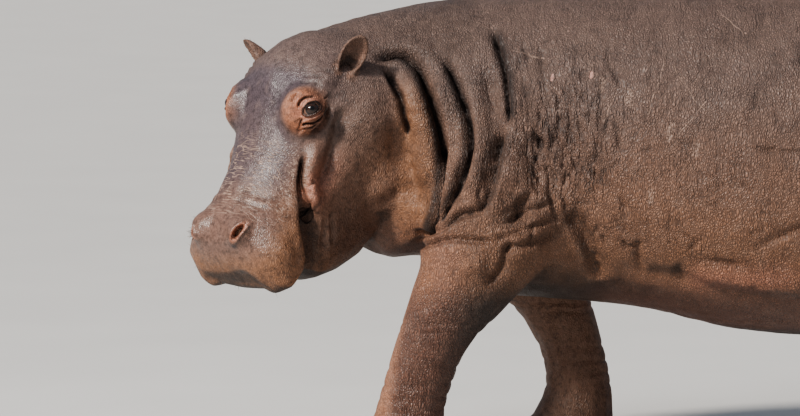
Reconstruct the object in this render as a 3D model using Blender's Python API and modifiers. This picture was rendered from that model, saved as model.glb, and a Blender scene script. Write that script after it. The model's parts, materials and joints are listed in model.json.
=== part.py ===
"""A life-size hippopotamus, walking, with its lowered head turned to its left.

The animal faces -Y, its left side is +X, up is +Z, and its soles stand on Z = 0. It is
modelled about a point under its trunk, and moved at the end so that the middle of its
footprint is the origin.
The body is modelled whole from lofts and rounded masses, blended into one skin, and then
parted by thin cuts into the parts that a person would name. Ears, eyes and hooves are
pieces of their own that sit in the body. All lengths are metres and all angles degrees.
"""

import math

import bmesh
import bpy
import numpy as np
from mathutils import Matrix, Vector

# Driving dimensions
GAP = 0.0004  # the clearance that every cut leaves
BODY_VOXEL = 0.013
BODY_TRIANGLES = 3620
SOLE_REACH = 0.014
RING_POINTS = 40
RING_STEP = 0.03

# The head's own frame: its origin is midway between the roots of the ears, x runs
# forwards to the nose, y to the animal's left and z up from the palate.
HEAD_ORIGIN = Vector((0.19, -1.567, 1.207))
HEAD_TURN = 41.0
HEAD_DROP = 52.0

EYE_RADIUS = 0.026
EYE_PLACE = Vector((0.170, 0.179, 0.018))
EAR_PLACE = Vector((0.006, 0.190, -0.006))
# The ears point and open their own ways, as directions in the head's frame.
EARS = {
    "left": ((-0.75, 0.53, 0.40), (0.30, 0.88, 0.30)),
    "right": ((-0.42, -0.86, 0.28), (0.90, -0.30, 0.30)),
}
EAR = (
    # height above the head, half width, depth of the cup, half angle of the cup
    (-0.034, 0.018, 0.024, 125.0),
    (-0.008, 0.024, 0.028, 120.0),
    (0.026, 0.034, 0.028, 108.0),
    (0.060, 0.037, 0.022, 96.0),
    (0.088, 0.030, 0.015, 88.0),
    (0.108, 0.016, 0.008, 84.0),
    (0.116, 0.005, 0.003, 82.0),
)
EAR_POINTS = 9
EAR_WALL = 0.008

# The trunk and neck, from the rump to the head: the height and place of the back's line
# (crest) and of the belly's line (keel), then the half width, the sideways shift and how
# far the cross section has turned to the left.
TORSO = (
    # crest y, crest z, keel y, keel z, half width, shift, turn
    (1.155, 0.960, 1.150, 0.880, 0.050, 0.000, 0.0),
    (1.130, 1.090, 1.110, 0.730, 0.180, 0.000, 0.0),
    (1.050, 1.210, 1.030, 0.600, 0.300, 0.000, 0.0),
    (0.900, 1.325, 0.900, 0.500, 0.385, 0.000, 0.0),
    (0.650, 1.410, 0.650, 0.430, 0.452, 0.000, 0.0),
    (0.300, 1.450, 0.300, 0.392, 0.496, 0.000, 0.0),
    (-0.050, 1.458, -0.050, 0.386, 0.503, 0.000, 0.0),
    (-0.350, 1.448, -0.320, 0.412, 0.485, 0.000, 0.0),
    (-0.600, 1.430, -0.560, 0.470, 0.446, 0.000, 0.0),
    (-0.830, 1.412, -0.780, 0.492, 0.404, 0.000, 0.0),
    (-1.030, 1.398, -1.000, 0.515, 0.368, 0.000, 1.0),
    (-1.190, 1.382, -1.130, 0.604, 0.338, 0.005, 5.0),
    (-1.320, 1.356, -1.240, 0.628, 0.315, 0.025, 13.0),
    (-1.430, 1.328, -1.325, 0.624, 0.285, 0.060, 24.0),
    (-1.500, 1.296, -1.385, 0.670, 0.240, 0.090, 34.0),
    (-1.520, 1.170, -1.430, 0.820, 0.140, 0.115, 40.0),
)
TORSO_WIDEST = 0.44  # the share of each section's height at which it is widest
TORSO_SQUARENESS = 2.25

# The head, from inside the neck to the front of the muzzle, in the head's frame.
HEAD = (
    # x, top z, widest z, bottom z, half width, squareness above, squareness below
    (-0.160, -0.055, -0.200, -0.390, 0.150, 2.0, 2.0),
    (-0.105, 0.024, -0.200, -0.450, 0.225, 2.0, 2.2),
    (-0.045, 0.066, -0.205, -0.480, 0.250, 2.0, 2.3),
    (0.010, 0.088, -0.210, -0.492, 0.256, 2.0, 2.3),
    (0.070, 0.094, -0.215, -0.498, 0.257, 2.05, 2.4),
    (0.130, 0.088, -0.220, -0.496, 0.248, 2.0, 2.4),
    (0.200, 0.056, -0.225, -0.484, 0.222, 2.1, 2.5),
    (0.280, 0.024, -0.225, -0.474, 0.197, 2.4, 2.5),
    (0.355, 0.002, -0.220, -0.470, 0.184, 2.2, 2.6),
    (0.430, -0.008, -0.195, -0.433, 0.186, 2.1, 2.7),
    (0.500, -0.014, -0.178, -0.375, 0.197, 2.2, 2.8),
    (0.555, -0.024, -0.172, -0.322, 0.202, 2.3, 2.9),
    (0.598, -0.046, -0.172, -0.277, 0.190, 2.4, 2.8),
    (0.627, -0.080, -0.174, -0.254, 0.162, 2.4, 2.6),
    (0.643, -0.115, -0.176, -0.228, 0.118, 2.4, 2.4),
    (0.650, -0.150, -0.178, -0.200, 0.056, 2.2, 2.2),
)

# Rounded masses on both sides of the head: centre and radii in the head's frame.
HEAD_MASSES = (
    ((0.167, 0.133, 0.007), (0.082, 0.064, 0.078)),  # the raised orbit
    ((0.068, 0.135, 0.004), (0.090, 0.058, 0.054)),  # brow, from the orbit to the ear
    ((0.556, 0.080, -0.044), (0.056, 0.046, 0.035)),  # nostril mound
    ((0.560, 0.122, -0.154), (0.090, 0.088, 0.080)),  # pad of the upper lip
    ((0.596, 0.140, -0.198), (0.062, 0.066, 0.062)),  # corner of the upper lip
    ((0.390, 0.125, -0.170), (0.150, 0.068, 0.080)),  # side of the upper lip
    ((0.525, 0.080, -0.262), (0.098, 0.090, 0.046)),  # lower lip
    ((0.110, 0.165, -0.340), (0.170, 0.095, 0.140)),  # jowl
    ((0.060, 0.190, -0.170), (0.120, 0.075, 0.120)),  # cheek
)

# Rounded masses of the body, as centre and radii.
SHOULDER_MASSES = (
    ((0.265, -0.930, 0.930), (0.150, 0.240, 0.280)),  # shoulder blade and upper arm
    ((0.130, -1.050, 0.700), (0.170, 0.140, 0.160)),  # breast
)
HAUNCH_MASSES = (
    ((0.240, 0.730, 0.950), (0.220, 0.330, 0.330)),  # haunch
    ((0.180, 0.980, 0.860), (0.160, 0.180, 0.260)),  # buttock
)

# Each leg, as sections from inside the body down to the sole.
LEG_SQUARENESS = 2.3
FRONT_LEFT_LEG = (
    # centre x, centre y, z, half width across, half length
    (0.270, -0.940, 1.080, 0.080, 0.120),
    (0.310, -0.975, 0.920, 0.125, 0.190),
    (0.322, -1.015, 0.750, 0.140, 0.198),
    (0.322, -1.047, 0.620, 0.138, 0.180),
    (0.316, -1.118, 0.500, 0.124, 0.146),
    (0.310, -1.190, 0.390, 0.108, 0.110),
    (0.306, -1.230, 0.280, 0.100, 0.102),
    (0.305, -1.255, 0.190, 0.101, 0.102),
    (0.306, -1.268, 0.110, 0.116, 0.120),
    (0.308, -1.278, 0.050, 0.130, 0.136),
    (0.308, -1.280, 0.018, 0.132, 0.138),
    (0.308, -1.280, 0.000, 0.122, 0.128),
)
FRONT_RIGHT_LEG = (
    (-0.270, -0.900, 1.080, 0.080, 0.120),
    (-0.310, -0.915, 0.920, 0.125, 0.190),
    (-0.322, -0.915, 0.750, 0.140, 0.200),
    (-0.320, -0.890, 0.620, 0.136, 0.178),
    (-0.314, -0.855, 0.500, 0.122, 0.146),
    (-0.308, -0.790, 0.390, 0.106, 0.110),
    (-0.304, -0.750, 0.280, 0.099, 0.099),
    (-0.303, -0.737, 0.190, 0.101, 0.101),
    (-0.304, -0.752, 0.110, 0.116, 0.120),
    (-0.306, -0.764, 0.050, 0.130, 0.136),
    (-0.306, -0.766, 0.018, 0.132, 0.138),
    (-0.306, -0.766, 0.000, 0.122, 0.128),
)
HIND_LEFT_LEG = (
    (0.240, 0.760, 1.080, 0.120, 0.180),
    (0.285, 0.760, 0.920, 0.160, 0.270),
    (0.310, 0.770, 0.760, 0.168, 0.270),
    (0.315, 0.790, 0.620, 0.156, 0.232),
    (0.312, 0.838, 0.490, 0.128, 0.176),
    (0.306, 0.898, 0.380, 0.104, 0.130),
    (0.302, 0.942, 0.280, 0.093, 0.112),
    (0.302, 0.952, 0.190, 0.094, 0.100),
    (0.304, 0.940, 0.110, 0.108, 0.114),
    (0.306, 0.926, 0.050, 0.122, 0.130),
    (0.306, 0.924, 0.018, 0.124, 0.132),
    (0.306, 0.924, 0.000, 0.114, 0.122),
)
HIND_RIGHT_LEG = (
    (-0.240, 0.740, 1.080, 0.120, 0.180),
    (-0.285, 0.720, 0.920, 0.160, 0.270),
    (-0.310, 0.690, 0.760, 0.168, 0.270),
    (-0.315, 0.655, 0.620, 0.156, 0.228),
    (-0.312, 0.640, 0.490, 0.128, 0.172),
    (-0.306, 0.640, 0.380, 0.104, 0.128),
    (-0.302, 0.635, 0.280, 0.093, 0.110),
    (-0.302, 0.615, 0.190, 0.094, 0.099),
    (-0.304, 0.590, 0.110, 0.108, 0.114),
    (-0.306, 0.572, 0.050, 0.122, 0.130),
    (-0.306, 0.570, 0.018, 0.124, 0.132),
    (-0.306, 0.570, 0.000, 0.114, 0.122),
)

TAIL = (
    # y, z, half width across, half depth
    (0.960, 1.170, 0.060, 0.060),
    (1.060, 1.125, 0.078, 0.070),
    (1.150, 1.030, 0.060, 0.056),
    (1.204, 0.920, 0.040, 0.040),
    (1.224, 0.830, 0.029, 0.036),
    (1.232, 0.750, 0.019, 0.030),
    (1.236, 0.690, 0.010, 0.018),
)

# The toes of a left foot, from the outer to the inner one: degrees outwards from straight
# ahead, and size as a share of the middle toes'.
TOES = ((58.0, 0.84), (20.0, 1.0), (-20.0, 1.0), (-58.0, 0.84))
TOE_REACH = 0.104
TOE_RADII = (0.050, 0.062, 0.050)
TOE_HEIGHT = 0.046
HOOF_REACH = 0.052
HOOF_RADII = (0.030, 0.026, 0.034)
HOOF_HEIGHT = 0.036

# The cuts that part the whole body. Each is a plane, as a point on it and the way out of
# the part: the part is what lies behind all of its planes.
HEAD_CUTS = (
    ((-0.075, 0.0, -0.10), (-1.0, 0.0, -0.16)),
    ((0.10, 0.0, -0.505), (0.22, 0.0, -1.0)),
    ((0.0, 0.40, 0.0), (0.0, 1.0, 0.0)),
    ((0.0, -0.40, 0.0), (0.0, -1.0, 0.0)),
)
FRONT_LEFT_CUTS = (
    ((0.02, 0.0, 0.0), (-1.0, 0.0, 0.0)),
    ((0.10, 0.0, 0.485), (-0.616, 0.0, 0.788)),
    ((0.0, -0.800, 0.5), (0.0, 1.0, 0.0)),
    ((0.0, -1.240, 0.620), (0.0, -0.853, 0.521)),
)
FRONT_RIGHT_CUTS = (
    ((-0.02, 0.0, 0.0), (1.0, 0.0, 0.0)),
    ((-0.10, 0.0, 0.485), (0.616, 0.0, 0.788)),
    ((0.0, -0.660, 0.5), (0.0, 0.972, 0.233)),
    ((0.0, -1.140, 0.620), (0.0, -0.940, 0.342)),
)
HIND_LEFT_CUTS = (
    ((0.02, 0.0, 0.0), (-1.0, 0.0, 0.0)),
    ((0.10, 0.0, 0.400), (-0.731, 0.0, 0.682)),
    ((0.0, 0.500, 0.450), (0.0, -0.980, 0.196)),
)
HIND_RIGHT_CUTS = (
    ((-0.02, 0.0, 0.0), (1.0, 0.0, 0.0)),
    ((-0.10, 0.0, 0.400), (0.731, 0.0, 0.682)),
    ((0.0, 0.380, 0.450), (0.0, -0.980, 0.196)),
)
FOOT_CUTS = (((0.0, 0.0, 0.205), (0.0, 0.0, 1.0)),)
NECK_CUTS = (((0.02, -1.12, 0.95), (-0.07, 0.975, 0.21)),)
TAIL_CUTS = (((0.0, 1.163, 1.0), (0.0, -1.0, 0.0)),)
MOUTH_LINE = ((0.80, -0.228), (0.55, -0.214), (0.46, -0.150), (0.36, -0.092), (0.27, -0.070),
              (0.10, -0.120), (-0.40, -0.150))

# Each foot: the sections of the leg that it ends, the size of its toes and the leg's cuts.
FEET = {
    "front_left": (FRONT_LEFT_LEG, 1.0, FRONT_LEFT_CUTS),
    "front_right": (FRONT_RIGHT_LEG, 1.0, FRONT_RIGHT_CUTS),
    "hind_left": (HIND_LEFT_LEG, 0.93, HIND_LEFT_CUTS),
    "hind_right": (HIND_RIGHT_LEG, 0.93, HIND_RIGHT_CUTS),
}

HIDE_COLOUR = (0.115, 0.075, 0.062, 1.0)
PINK_COLOUR = (0.300, 0.150, 0.105, 1.0)
HOOF_COLOUR = (0.085, 0.066, 0.055, 1.0)
EYE_COLOUR = (0.020, 0.012, 0.008, 1.0)


def clear_scene():
    """Empties the scene, and keeps the file that this script runs from."""
    for thing in list(bpy.data.objects):
        bpy.data.objects.remove(thing)


def make_collection(name):
    collection = bpy.data.collections.new(name)
    bpy.context.scene.collection.children.link(collection)
    return collection


def make_material(name, colour, roughness):
    material = bpy.data.materials.new(name)
    material.use_nodes = True
    shader = material.node_tree.nodes["Principled BSDF"]
    shader.inputs["Base Color"].default_value = colour
    shader.inputs["Roughness"].default_value = roughness
    shader.inputs["Metallic"].default_value = 0.0
    return material


def head_matrix():
    """Takes a point in the head's frame to the world."""
    forward = Vector((0.0, -1.0, 0.0))
    turn = Matrix.Rotation(math.radians(HEAD_TURN), 4, "Z")
    axes = Matrix((forward, Vector((1.0, 0.0, 0.0)), Vector((0.0, 0.0, 1.0)))).transposed()
    drop = Matrix.Rotation(math.radians(HEAD_DROP), 4, "Y")
    return Matrix.Translation(HEAD_ORIGIN) @ turn @ axes.to_4x4() @ drop


def smooth_rows(rows, step):
    """The rows of a table as a smooth curve, with a row about every step metres."""
    rows = np.array(rows, float)
    ends = np.vstack([2 * rows[0] - rows[1], rows, 2 * rows[-1] - rows[-2]])
    made = []
    for before, start, end, after in zip(ends, ends[1:], ends[2:], ends[3:]):
        count = max(1, round(np.linalg.norm((end - start)[:4]) / step))
        for t in np.arange(count) / count:
            line = 2 * start + (end - before) * t
            bend = (2 * before - 5 * start + 4 * end - after) * t ** 2
            twist = (3 * start - before - 3 * end + after) * t ** 3
            made.append((line + bend + twist) / 2)
    made.append(rows[-1])
    return made


def rounded(angle, power):
    """Cosine and sine of a superellipse: 2 is a circle, and more is squarer."""
    cosine, sine = math.cos(angle), math.sin(angle)
    return (
        math.copysign(abs(cosine) ** (2 / power), cosine),
        math.copysign(abs(sine) ** (2 / power), sine),
    )


def loft(name, rings, collection):
    """A skin through rings that have as many points each, closed at both ends."""
    mesh = bmesh.new()
    rows = [[mesh.verts.new(point) for point in ring] for ring in rings]
    for low, high in zip(rows, rows[1:]):
        for i, corner in enumerate(low):
            j = (i + 1) % len(low)
            mesh.faces.new((corner, low[j], high[j], high[i]))
    mesh.faces.new(rows[0][::-1])
    mesh.faces.new(rows[-1])
    bmesh.ops.recalc_face_normals(mesh, faces=mesh.faces)
    return object_from(name, mesh, collection)


def object_from(name, mesh, collection):
    """Turns a bmesh into an object."""
    data = bpy.data.meshes.new(name)
    mesh.to_mesh(data)
    mesh.free()
    made = bpy.data.objects.new(name, data)
    collection.objects.link(made)
    return made


def ellipsoid(name, centre, radii, collection, matrix=None, segments=32, rings=18):
    """A UV sphere stretched to three radii, in the world or in another frame."""
    place = Matrix.Translation(centre) @ Matrix.Diagonal((*radii, 1.0))
    mesh = bmesh.new()
    bmesh.ops.create_uvsphere(mesh, u_segments=segments, v_segments=rings, radius=1.0,
                              matrix=(matrix or Matrix()) @ place)
    return object_from(name, mesh, collection)


def make_torso(workshop):
    """Trunk and neck, as one loft that turns to the left towards the head."""
    rings = []
    for row in smooth_rows(TORSO, RING_STEP):
        crest = Vector((row[5], row[0], row[1]))
        keel = Vector((row[5], row[2], row[3]))
        widest = keel.lerp(crest, TORSO_WIDEST)
        side = Vector((math.cos(math.radians(row[6])), math.sin(math.radians(row[6])), 0.0))
        ring = []
        for i in range(RING_POINTS):
            across, up = rounded(2 * math.pi * i / RING_POINTS, TORSO_SQUARENESS)
            reach = crest - widest if up > 0 else widest - keel
            ring.append(widest + side * row[4] * across + reach * up)
        rings.append(ring)
    return loft("torso", rings, workshop)


def make_head(workshop):
    """The head as one loft in its own frame, with the masses that stand out from it."""
    to_world = head_matrix()
    rings = []
    for x, top, widest, bottom, width, above, below in smooth_rows(HEAD, RING_STEP):
        ring = []
        for i in range(RING_POINTS):
            angle = 2 * math.pi * i / RING_POINTS
            across, up = rounded(angle, above if angle < math.pi else below)
            height = top - widest if up > 0 else widest - bottom
            ring.append(to_world @ Vector((x, width * across, widest + height * up)))
        rings.append(ring)
    pieces = [loft("head_loft", rings, workshop)]
    for side in (1, -1):
        for centre, radii in HEAD_MASSES:
            place = Vector((centre[0], side * centre[1], centre[2]))
            pieces.append(ellipsoid("head_mass", place, radii, workshop, to_world))
    return pieces


def make_masses(masses, workshop):
    """Muscle masses on both sides of the body."""
    return [
        ellipsoid("mass", Vector((side * centre[0], centre[1], centre[2])), radii, workshop)
        for side in (1, -1)
        for centre, radii in masses
    ]


def make_leg(sections, workshop):
    """One leg down to its sole, from level sections."""
    rings = []
    for x, y, z, width, length in smooth_rows(sections, RING_STEP):
        ring = []
        for i in range(RING_POINTS):
            across, along = rounded(2 * math.pi * i / RING_POINTS, LEG_SQUARENESS)
            ring.append((x + width * across, y + length * along, z))
        rings.append(ring)
    return loft("leg", rings, workshop)


def toe_places(foot):
    """The direction, size and place of each toe of a foot."""
    sections, scale, _ = FEET[foot]
    x, y = sections[-2][:2]
    outwards = 1 if "left" in foot else -1
    for degrees, size in TOES:
        angle = math.radians(outwards * degrees)
        ahead = Vector((math.sin(angle), -math.cos(angle), 0.0))
        yield angle, size * scale, Vector((x, y, 0.0)) + ahead * TOE_REACH * scale, ahead


def make_toes(foot, workshop):
    """The fleshy toes of a foot."""
    toes = []
    for angle, size, place, _ in toe_places(foot):
        centre = place + Vector((0, 0, TOE_HEIGHT * size))
        turned = Matrix.Translation(centre) @ Matrix.Rotation(angle, 4, "Z")
        toes.append(ellipsoid("toe", Vector(), Vector(TOE_RADII) * size, workshop, turned))
    return toes


def make_tail(workshop):
    """The tail, flat from side to side, hanging close behind the rump."""
    rows = smooth_rows(TAIL, RING_STEP)
    rings = []
    for i, (y, z, width, depth) in enumerate(rows):
        ahead = rows[min(i + 1, len(rows) - 1)] - rows[max(i - 1, 0)]
        along = Vector((0.0, ahead[0], ahead[1])).normalized()
        back = along.cross(Vector((1.0, 0.0, 0.0)))
        angles = [2 * math.pi * k / RING_POINTS for k in range(RING_POINTS)]
        centre = Vector((0.0, y, z))
        rings.append([
            centre + Vector((width * math.cos(a), 0, 0)) + back * depth * math.sin(a)
            for a in angles
        ])
    return loft("tail_loft", rings, workshop)


def join(name, pieces):
    """Joins objects into one mesh, with no Boolean."""
    mesh = bmesh.new()
    for piece in pieces:
        mesh.from_mesh(piece.data)
    collection = pieces[0].users_collection[0]
    for piece in pieces:
        bpy.data.objects.remove(piece)
    return object_from(name, mesh, collection)


def evaluated_copy(source, name, collection):
    """A new object that holds another's mesh with its modifiers applied."""
    graph = bpy.context.evaluated_depsgraph_get()
    data = bpy.data.meshes.new_from_object(source.evaluated_get(graph))
    made = bpy.data.objects.new(name, data)
    collection.objects.link(made)
    return made


def weigh(body, group_name, weight_of):
    """A vertex group whose weights come from a function of the vertices' places."""
    count = len(body.data.vertices)
    places = np.empty(count * 3)
    body.data.vertices.foreach_get("co", places)
    group = body.vertex_groups.new(name=group_name)
    for index, weight in enumerate(weight_of(places.reshape(-1, 3))):
        group.add((index,), float(weight), "REPLACE")


def in_head_frame(places):
    """Points of the world, as rows, in the head's frame."""
    back = np.array(head_matrix().inverted())
    return places @ back[:3, :3].T + back[:3, 3]


def ramp(value, start, end):
    """0 at start and beyond, 1 at end and beyond, and smooth between them."""
    t = np.clip((value - start) / (end - start), 0.0, 1.0)
    return t * t * (3 - 2 * t)


def blend_weight(places):
    """How much a place is smoothed: the body fully, and its ends much less."""
    face = ramp(in_head_frame(places)[:, 0], -0.15, 0.05)
    face *= ramp(places[:, 1], -1.0, -1.25)
    feet = 1.0 - ramp(places[:, 2], 0.10, 0.30)
    tail = ramp(places[:, 1], 1.15, 1.19)
    return np.clip(1.0 - 0.80 * face - 0.85 * feet - 0.85 * tail, 0.05, 1.0)


def make_body(workshop):
    """The whole animal but its ears, eyes and hooves, as one smooth closed mesh."""
    pieces = [make_torso(workshop), make_tail(workshop), *make_head(workshop)]
    pieces += make_masses(SHOULDER_MASSES, workshop)
    pieces += make_masses(HAUNCH_MASSES, workshop)
    for foot, (sections, _, _) in FEET.items():
        pieces.append(make_leg(sections, workshop))
        pieces += make_toes(foot, workshop)
    rough = join("rough_body", pieces)
    remesh = rough.modifiers.new("one_skin", "REMESH")
    remesh.mode = "VOXEL"
    remesh.voxel_size = BODY_VOXEL
    whole = evaluated_copy(rough, "whole_body", workshop)
    bpy.data.objects.remove(rough)
    weigh(whole, "blend", blend_weight)
    smooth = whole.modifiers.new("blend", "SMOOTH")
    smooth.factor = 0.5
    smooth.iterations = 34
    smooth.vertex_group = "blend"
    return whole


def flatten_soles(body, reach):
    """Puts the soles level on the floor, with all that is within reach of it."""
    for corner in body.data.vertices:
        if corner.co.z < reach:
            corner.co.z = 0.0


def lighten(body):
    """Fewer triangles, with more of them kept on the face and feet."""
    def keep(places):
        face = ramp(in_head_frame(places)[:, 0], -0.10, 0.10)
        face *= ramp(places[:, 1], -1.0, -1.25)
        feet = 1.0 - ramp(places[:, 2], 0.12, 0.25)
        return 1.0 - np.maximum(0.75 * face, 0.30 * feet)

    weigh(body, "lighten", keep)
    decimate = body.modifiers.new("lighten", "DECIMATE")
    count = sum(len(face.vertices) - 2 for face in body.data.polygons)
    decimate.ratio = BODY_TRIANGLES / count
    decimate.use_collapse_triangulate = True
    decimate.vertex_group = "lighten"
    decimate.vertex_group_factor = 0.0004


def between_planes(name, planes, grow, matrix, collection):
    """The solid behind all of some planes of a frame, larger all round by grow."""
    mesh = bmesh.new()
    bmesh.ops.create_cube(mesh, size=5.0, matrix=matrix)
    turned = matrix.to_3x3()
    for point, outwards in planes:
        outwards = (turned @ Vector(outwards)).normalized()
        cut = bmesh.ops.bisect_plane(
            mesh, geom=[*mesh.verts, *mesh.edges, *mesh.faces], clear_outer=True,
            plane_co=matrix @ Vector(point) + outwards * grow, plane_no=outwards)
        rim = [piece for piece in cut["geom_cut"] if isinstance(piece, bmesh.types.BMEdge)]
        bmesh.ops.contextual_create(mesh, geom=rim)
    bmesh.ops.recalc_face_normals(mesh, faces=mesh.faces)
    return object_from(name, mesh, collection)


def prism(name, outline, half_width, matrix, collection):
    """A flat outline in a frame's XZ plane, carried across Y by half a width each way."""
    sides = [[Vector((x, y, z)) for x, z in outline] for y in (-half_width, half_width)]
    mesh = bmesh.new()
    rows = [[mesh.verts.new(matrix @ point) for point in side] for side in sides]
    for i, corner in enumerate(rows[0]):
        j = (i + 1) % len(outline)
        mesh.faces.new((corner, rows[0][j], rows[1][j], rows[1][i]))
    mesh.faces.new(rows[0][::-1])
    mesh.faces.new(rows[1])
    bmesh.ops.recalc_face_normals(mesh, faces=mesh.faces)
    return object_from(name, mesh, collection)


def boolean(target, cutter, operation):
    """Applies one exact Boolean, and returns the object that holds its result."""
    modifier = target.modifiers.new(operation.lower(), "BOOLEAN")
    modifier.operation = operation
    modifier.object = cutter
    name, collection = target.name, target.users_collection[0]
    made = evaluated_copy(target, name + "_done", collection)
    bpy.data.objects.remove(target)
    made.name = name
    return made


def jaw_region(name, grow, collection):
    """The solid that holds the lower jaw, under the line of the mouth."""
    line = [(x, z + grow) for x, z in MOUTH_LINE]
    outline = [*line, (-0.40, -1.2), (0.80, -1.2)]
    return prism(name, outline, 0.6, head_matrix(), collection)


def part_off(whole, name, cuts, workshop, cutters, matrix=None):
    """Cuts a part off the whole along its planes, and returns the part and the rest."""
    def region(kind, grow):
        if cuts is MOUTH_LINE:
            return jaw_region(name + kind, grow, cutters)
        return between_planes(name + kind, cuts, grow, matrix or Matrix(), cutters)

    part = evaluated_copy(whole, name, workshop)
    part = boolean(part, region("_region", 0.0), "INTERSECT")
    return part, boolean(whole, region("_clearance", GAP), "DIFFERENCE")


def make_ear(name, workshop):
    """A short cupped ear, leaf-shaped, whose rim curls in at its root."""
    upwards, opening = (Vector(direction).normalized() for direction in EARS[name])
    ahead = (opening - upwards * opening.dot(upwards)).normalized()
    across = upwards.cross(ahead)
    root = Vector((EAR_PLACE.x, EAR_PLACE.y * math.copysign(1, upwards.y), EAR_PLACE.z))
    to_world = head_matrix()
    mesh = bmesh.new()
    grid = []
    for height, width, depth, half_angle in EAR:
        row = []
        for step in range(EAR_POINTS):
            angle = math.radians(half_angle) * (2 * step / (EAR_POINTS - 1) - 1)
            place = (root + upwards * height + across * width * math.sin(angle)
                     - ahead * depth * math.cos(angle))
            row.append(mesh.verts.new(to_world @ place))
        grid.append(row)
    for low, high in zip(grid, grid[1:]):
        for i in range(EAR_POINTS - 1):
            mesh.faces.new((low[i], low[i + 1], high[i + 1], high[i]))
    bmesh.ops.recalc_face_normals(mesh, faces=mesh.faces)
    ear = object_from("ear", mesh, workshop)
    wall = ear.modifiers.new("wall", "SOLIDIFY")
    wall.thickness = EAR_WALL
    wall.offset = 0.0
    return ear


def make_eye(side, radius, name, collection, segments=12, rings=8):
    """An eyeball."""
    place = Vector((EYE_PLACE.x, side * EYE_PLACE.y, EYE_PLACE.z))
    turned = head_matrix() @ Matrix.Translation(place) @ Matrix.Rotation(math.radians(90), 4, "X")
    return ellipsoid(name, Vector(), (radius,) * 3, collection, turned, segments, rings)


def make_hoof(place, ahead, angle, size, grow, name, collection):
    """The small blunt hoof on the tip of one toe."""
    centre = place + ahead * HOOF_REACH * size + Vector((0, 0, HOOF_HEIGHT * size))
    turned = Matrix.Translation(centre) @ Matrix.Rotation(angle, 4, "Z")
    radii = [length * size + grow for length in HOOF_RADII]
    hoof = ellipsoid(name, Vector(), radii, collection, turned, 8, 6)
    floor = GAP * 2 - grow
    for corner in hoof.data.vertices:
        corner.co.z = max(corner.co.z, floor)
    return hoof


def dress(thing, name, material, collection):
    """Names a finished piece, gives it its material and moves it to the collection."""
    thing.name = name
    thing.data.name = name
    thing.data.materials.clear()
    thing.data.materials.append(material)
    for old in list(thing.users_collection):
        old.objects.unlink(thing)
    collection.objects.link(thing)
    thing.data.shade_smooth()
    return thing


def centre_on_floor(collection):
    """Moves the finished pieces so that the middle of their footprint is the origin."""
    corners = np.array([corner for thing in collection.objects for corner in thing.bound_box])
    low, high = corners.min(axis=0), corners.max(axis=0)
    shift = Matrix.Translation((-(low[0] + high[0]) / 2, -(low[1] + high[1]) / 2, -low[2]))
    for thing in collection.objects:
        thing.data.transform(shift)


def put_away(collection):
    """Marks the cutters as helpers that aren't part of the animal."""
    for thing in collection.objects:
        thing.hide_render = True
        thing.display_type = "WIRE"


def main():
    clear_scene()
    animal = make_collection("hippopotamus")
    workshop = make_collection("workshop")
    cutters = make_collection("cutters")
    hide = make_material("hide", HIDE_COLOUR, 0.55)
    horn = make_material("hoof", HOOF_COLOUR, 0.6)
    wet = make_material("eye", EYE_COLOUR, 0.05)

    whole = make_body(workshop)
    smooth = evaluated_copy(whole, "smooth_body", workshop)
    bpy.data.objects.remove(whole)
    flatten_soles(smooth, SOLE_REACH)
    lighten(smooth)
    rest = evaluated_copy(smooth, "body", workshop)
    bpy.data.objects.remove(smooth)
    flatten_soles(rest, SOLE_REACH / 2)

    for side, name in ((1, "left"), (-1, "right")):
        socket = make_eye(side, EYE_RADIUS + GAP, "socket_" + name, cutters)
        rest = boolean(rest, socket, "DIFFERENCE")
        dress(make_eye(side, EYE_RADIUS, "eye", workshop), "eye_" + name, wet, animal)

    swollen = rest.modifiers.new("clearance", "DISPLACE")
    swollen.strength = GAP
    swollen.mid_level = 0.0
    around = evaluated_copy(rest, "body_clearance", cutters)
    rest.modifiers.remove(swollen)
    for name in EARS:
        ear = evaluated_copy(make_ear(name, cutters), "ear_" + name, workshop)
        dress(boolean(ear, around, "DIFFERENCE"), "ear_" + name, hide, animal)

    frame = head_matrix()
    head, rest = part_off(rest, "head", HEAD_CUTS, workshop, cutters, frame)
    jaw, head = part_off(head, "lower_jaw", MOUTH_LINE, workshop, cutters)
    pieces = {"head": head, "lower_jaw": jaw}
    for place, (_, _, cuts) in FEET.items():
        limb, rest = part_off(rest, "leg_" + place, cuts, workshop, cutters)
        foot, limb = part_off(limb, "foot_" + place, FOOT_CUTS, workshop, cutters)
        for number, (angle, size, spot, ahead) in enumerate(toe_places(place), 1):
            bed = make_hoof(spot, ahead, angle, size, GAP, "hoof_bed", cutters)
            foot = boolean(foot, bed, "DIFFERENCE")
            hoof = make_hoof(spot, ahead, angle, size, 0.0, "hoof", workshop)
            dress(hoof, f"hoof_{place}_{number}", horn, animal)
        pieces["leg_" + place] = limb
        pieces["foot_" + place] = foot
    pieces["neck"], rest = part_off(rest, "neck", NECK_CUTS, workshop, cutters)
    pieces["tail"], rest = part_off(rest, "tail", TAIL_CUTS, workshop, cutters)
    pieces["trunk"] = rest
    for name, piece in pieces.items():
        dress(piece, name, hide, animal)
    bpy.context.view_layer.update()
    centre_on_floor(animal)
    put_away(cutters)
    put_away(workshop)


main()
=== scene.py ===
"""A life-size hippopotamus, dressed for display.

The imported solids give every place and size. One skin replaces the nodes of flesh, with its folds,
lids, nostrils, mouth and wrinkles modelled in the mesh. The eyes, the hooves and the bristles are
pieces of their own. Metres, +Z up. The animal faces -Y, and its left side is towards +X.
"""

from __future__ import annotations

import json
import logging
import math
import random
from dataclasses import dataclass, field
from enum import Enum
from functools import partial

import bmesh
import bpy
import numpy as np
from mathutils import Matrix, Vector, geometry, noise
from mathutils.bvhtree import BVHTree

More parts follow.
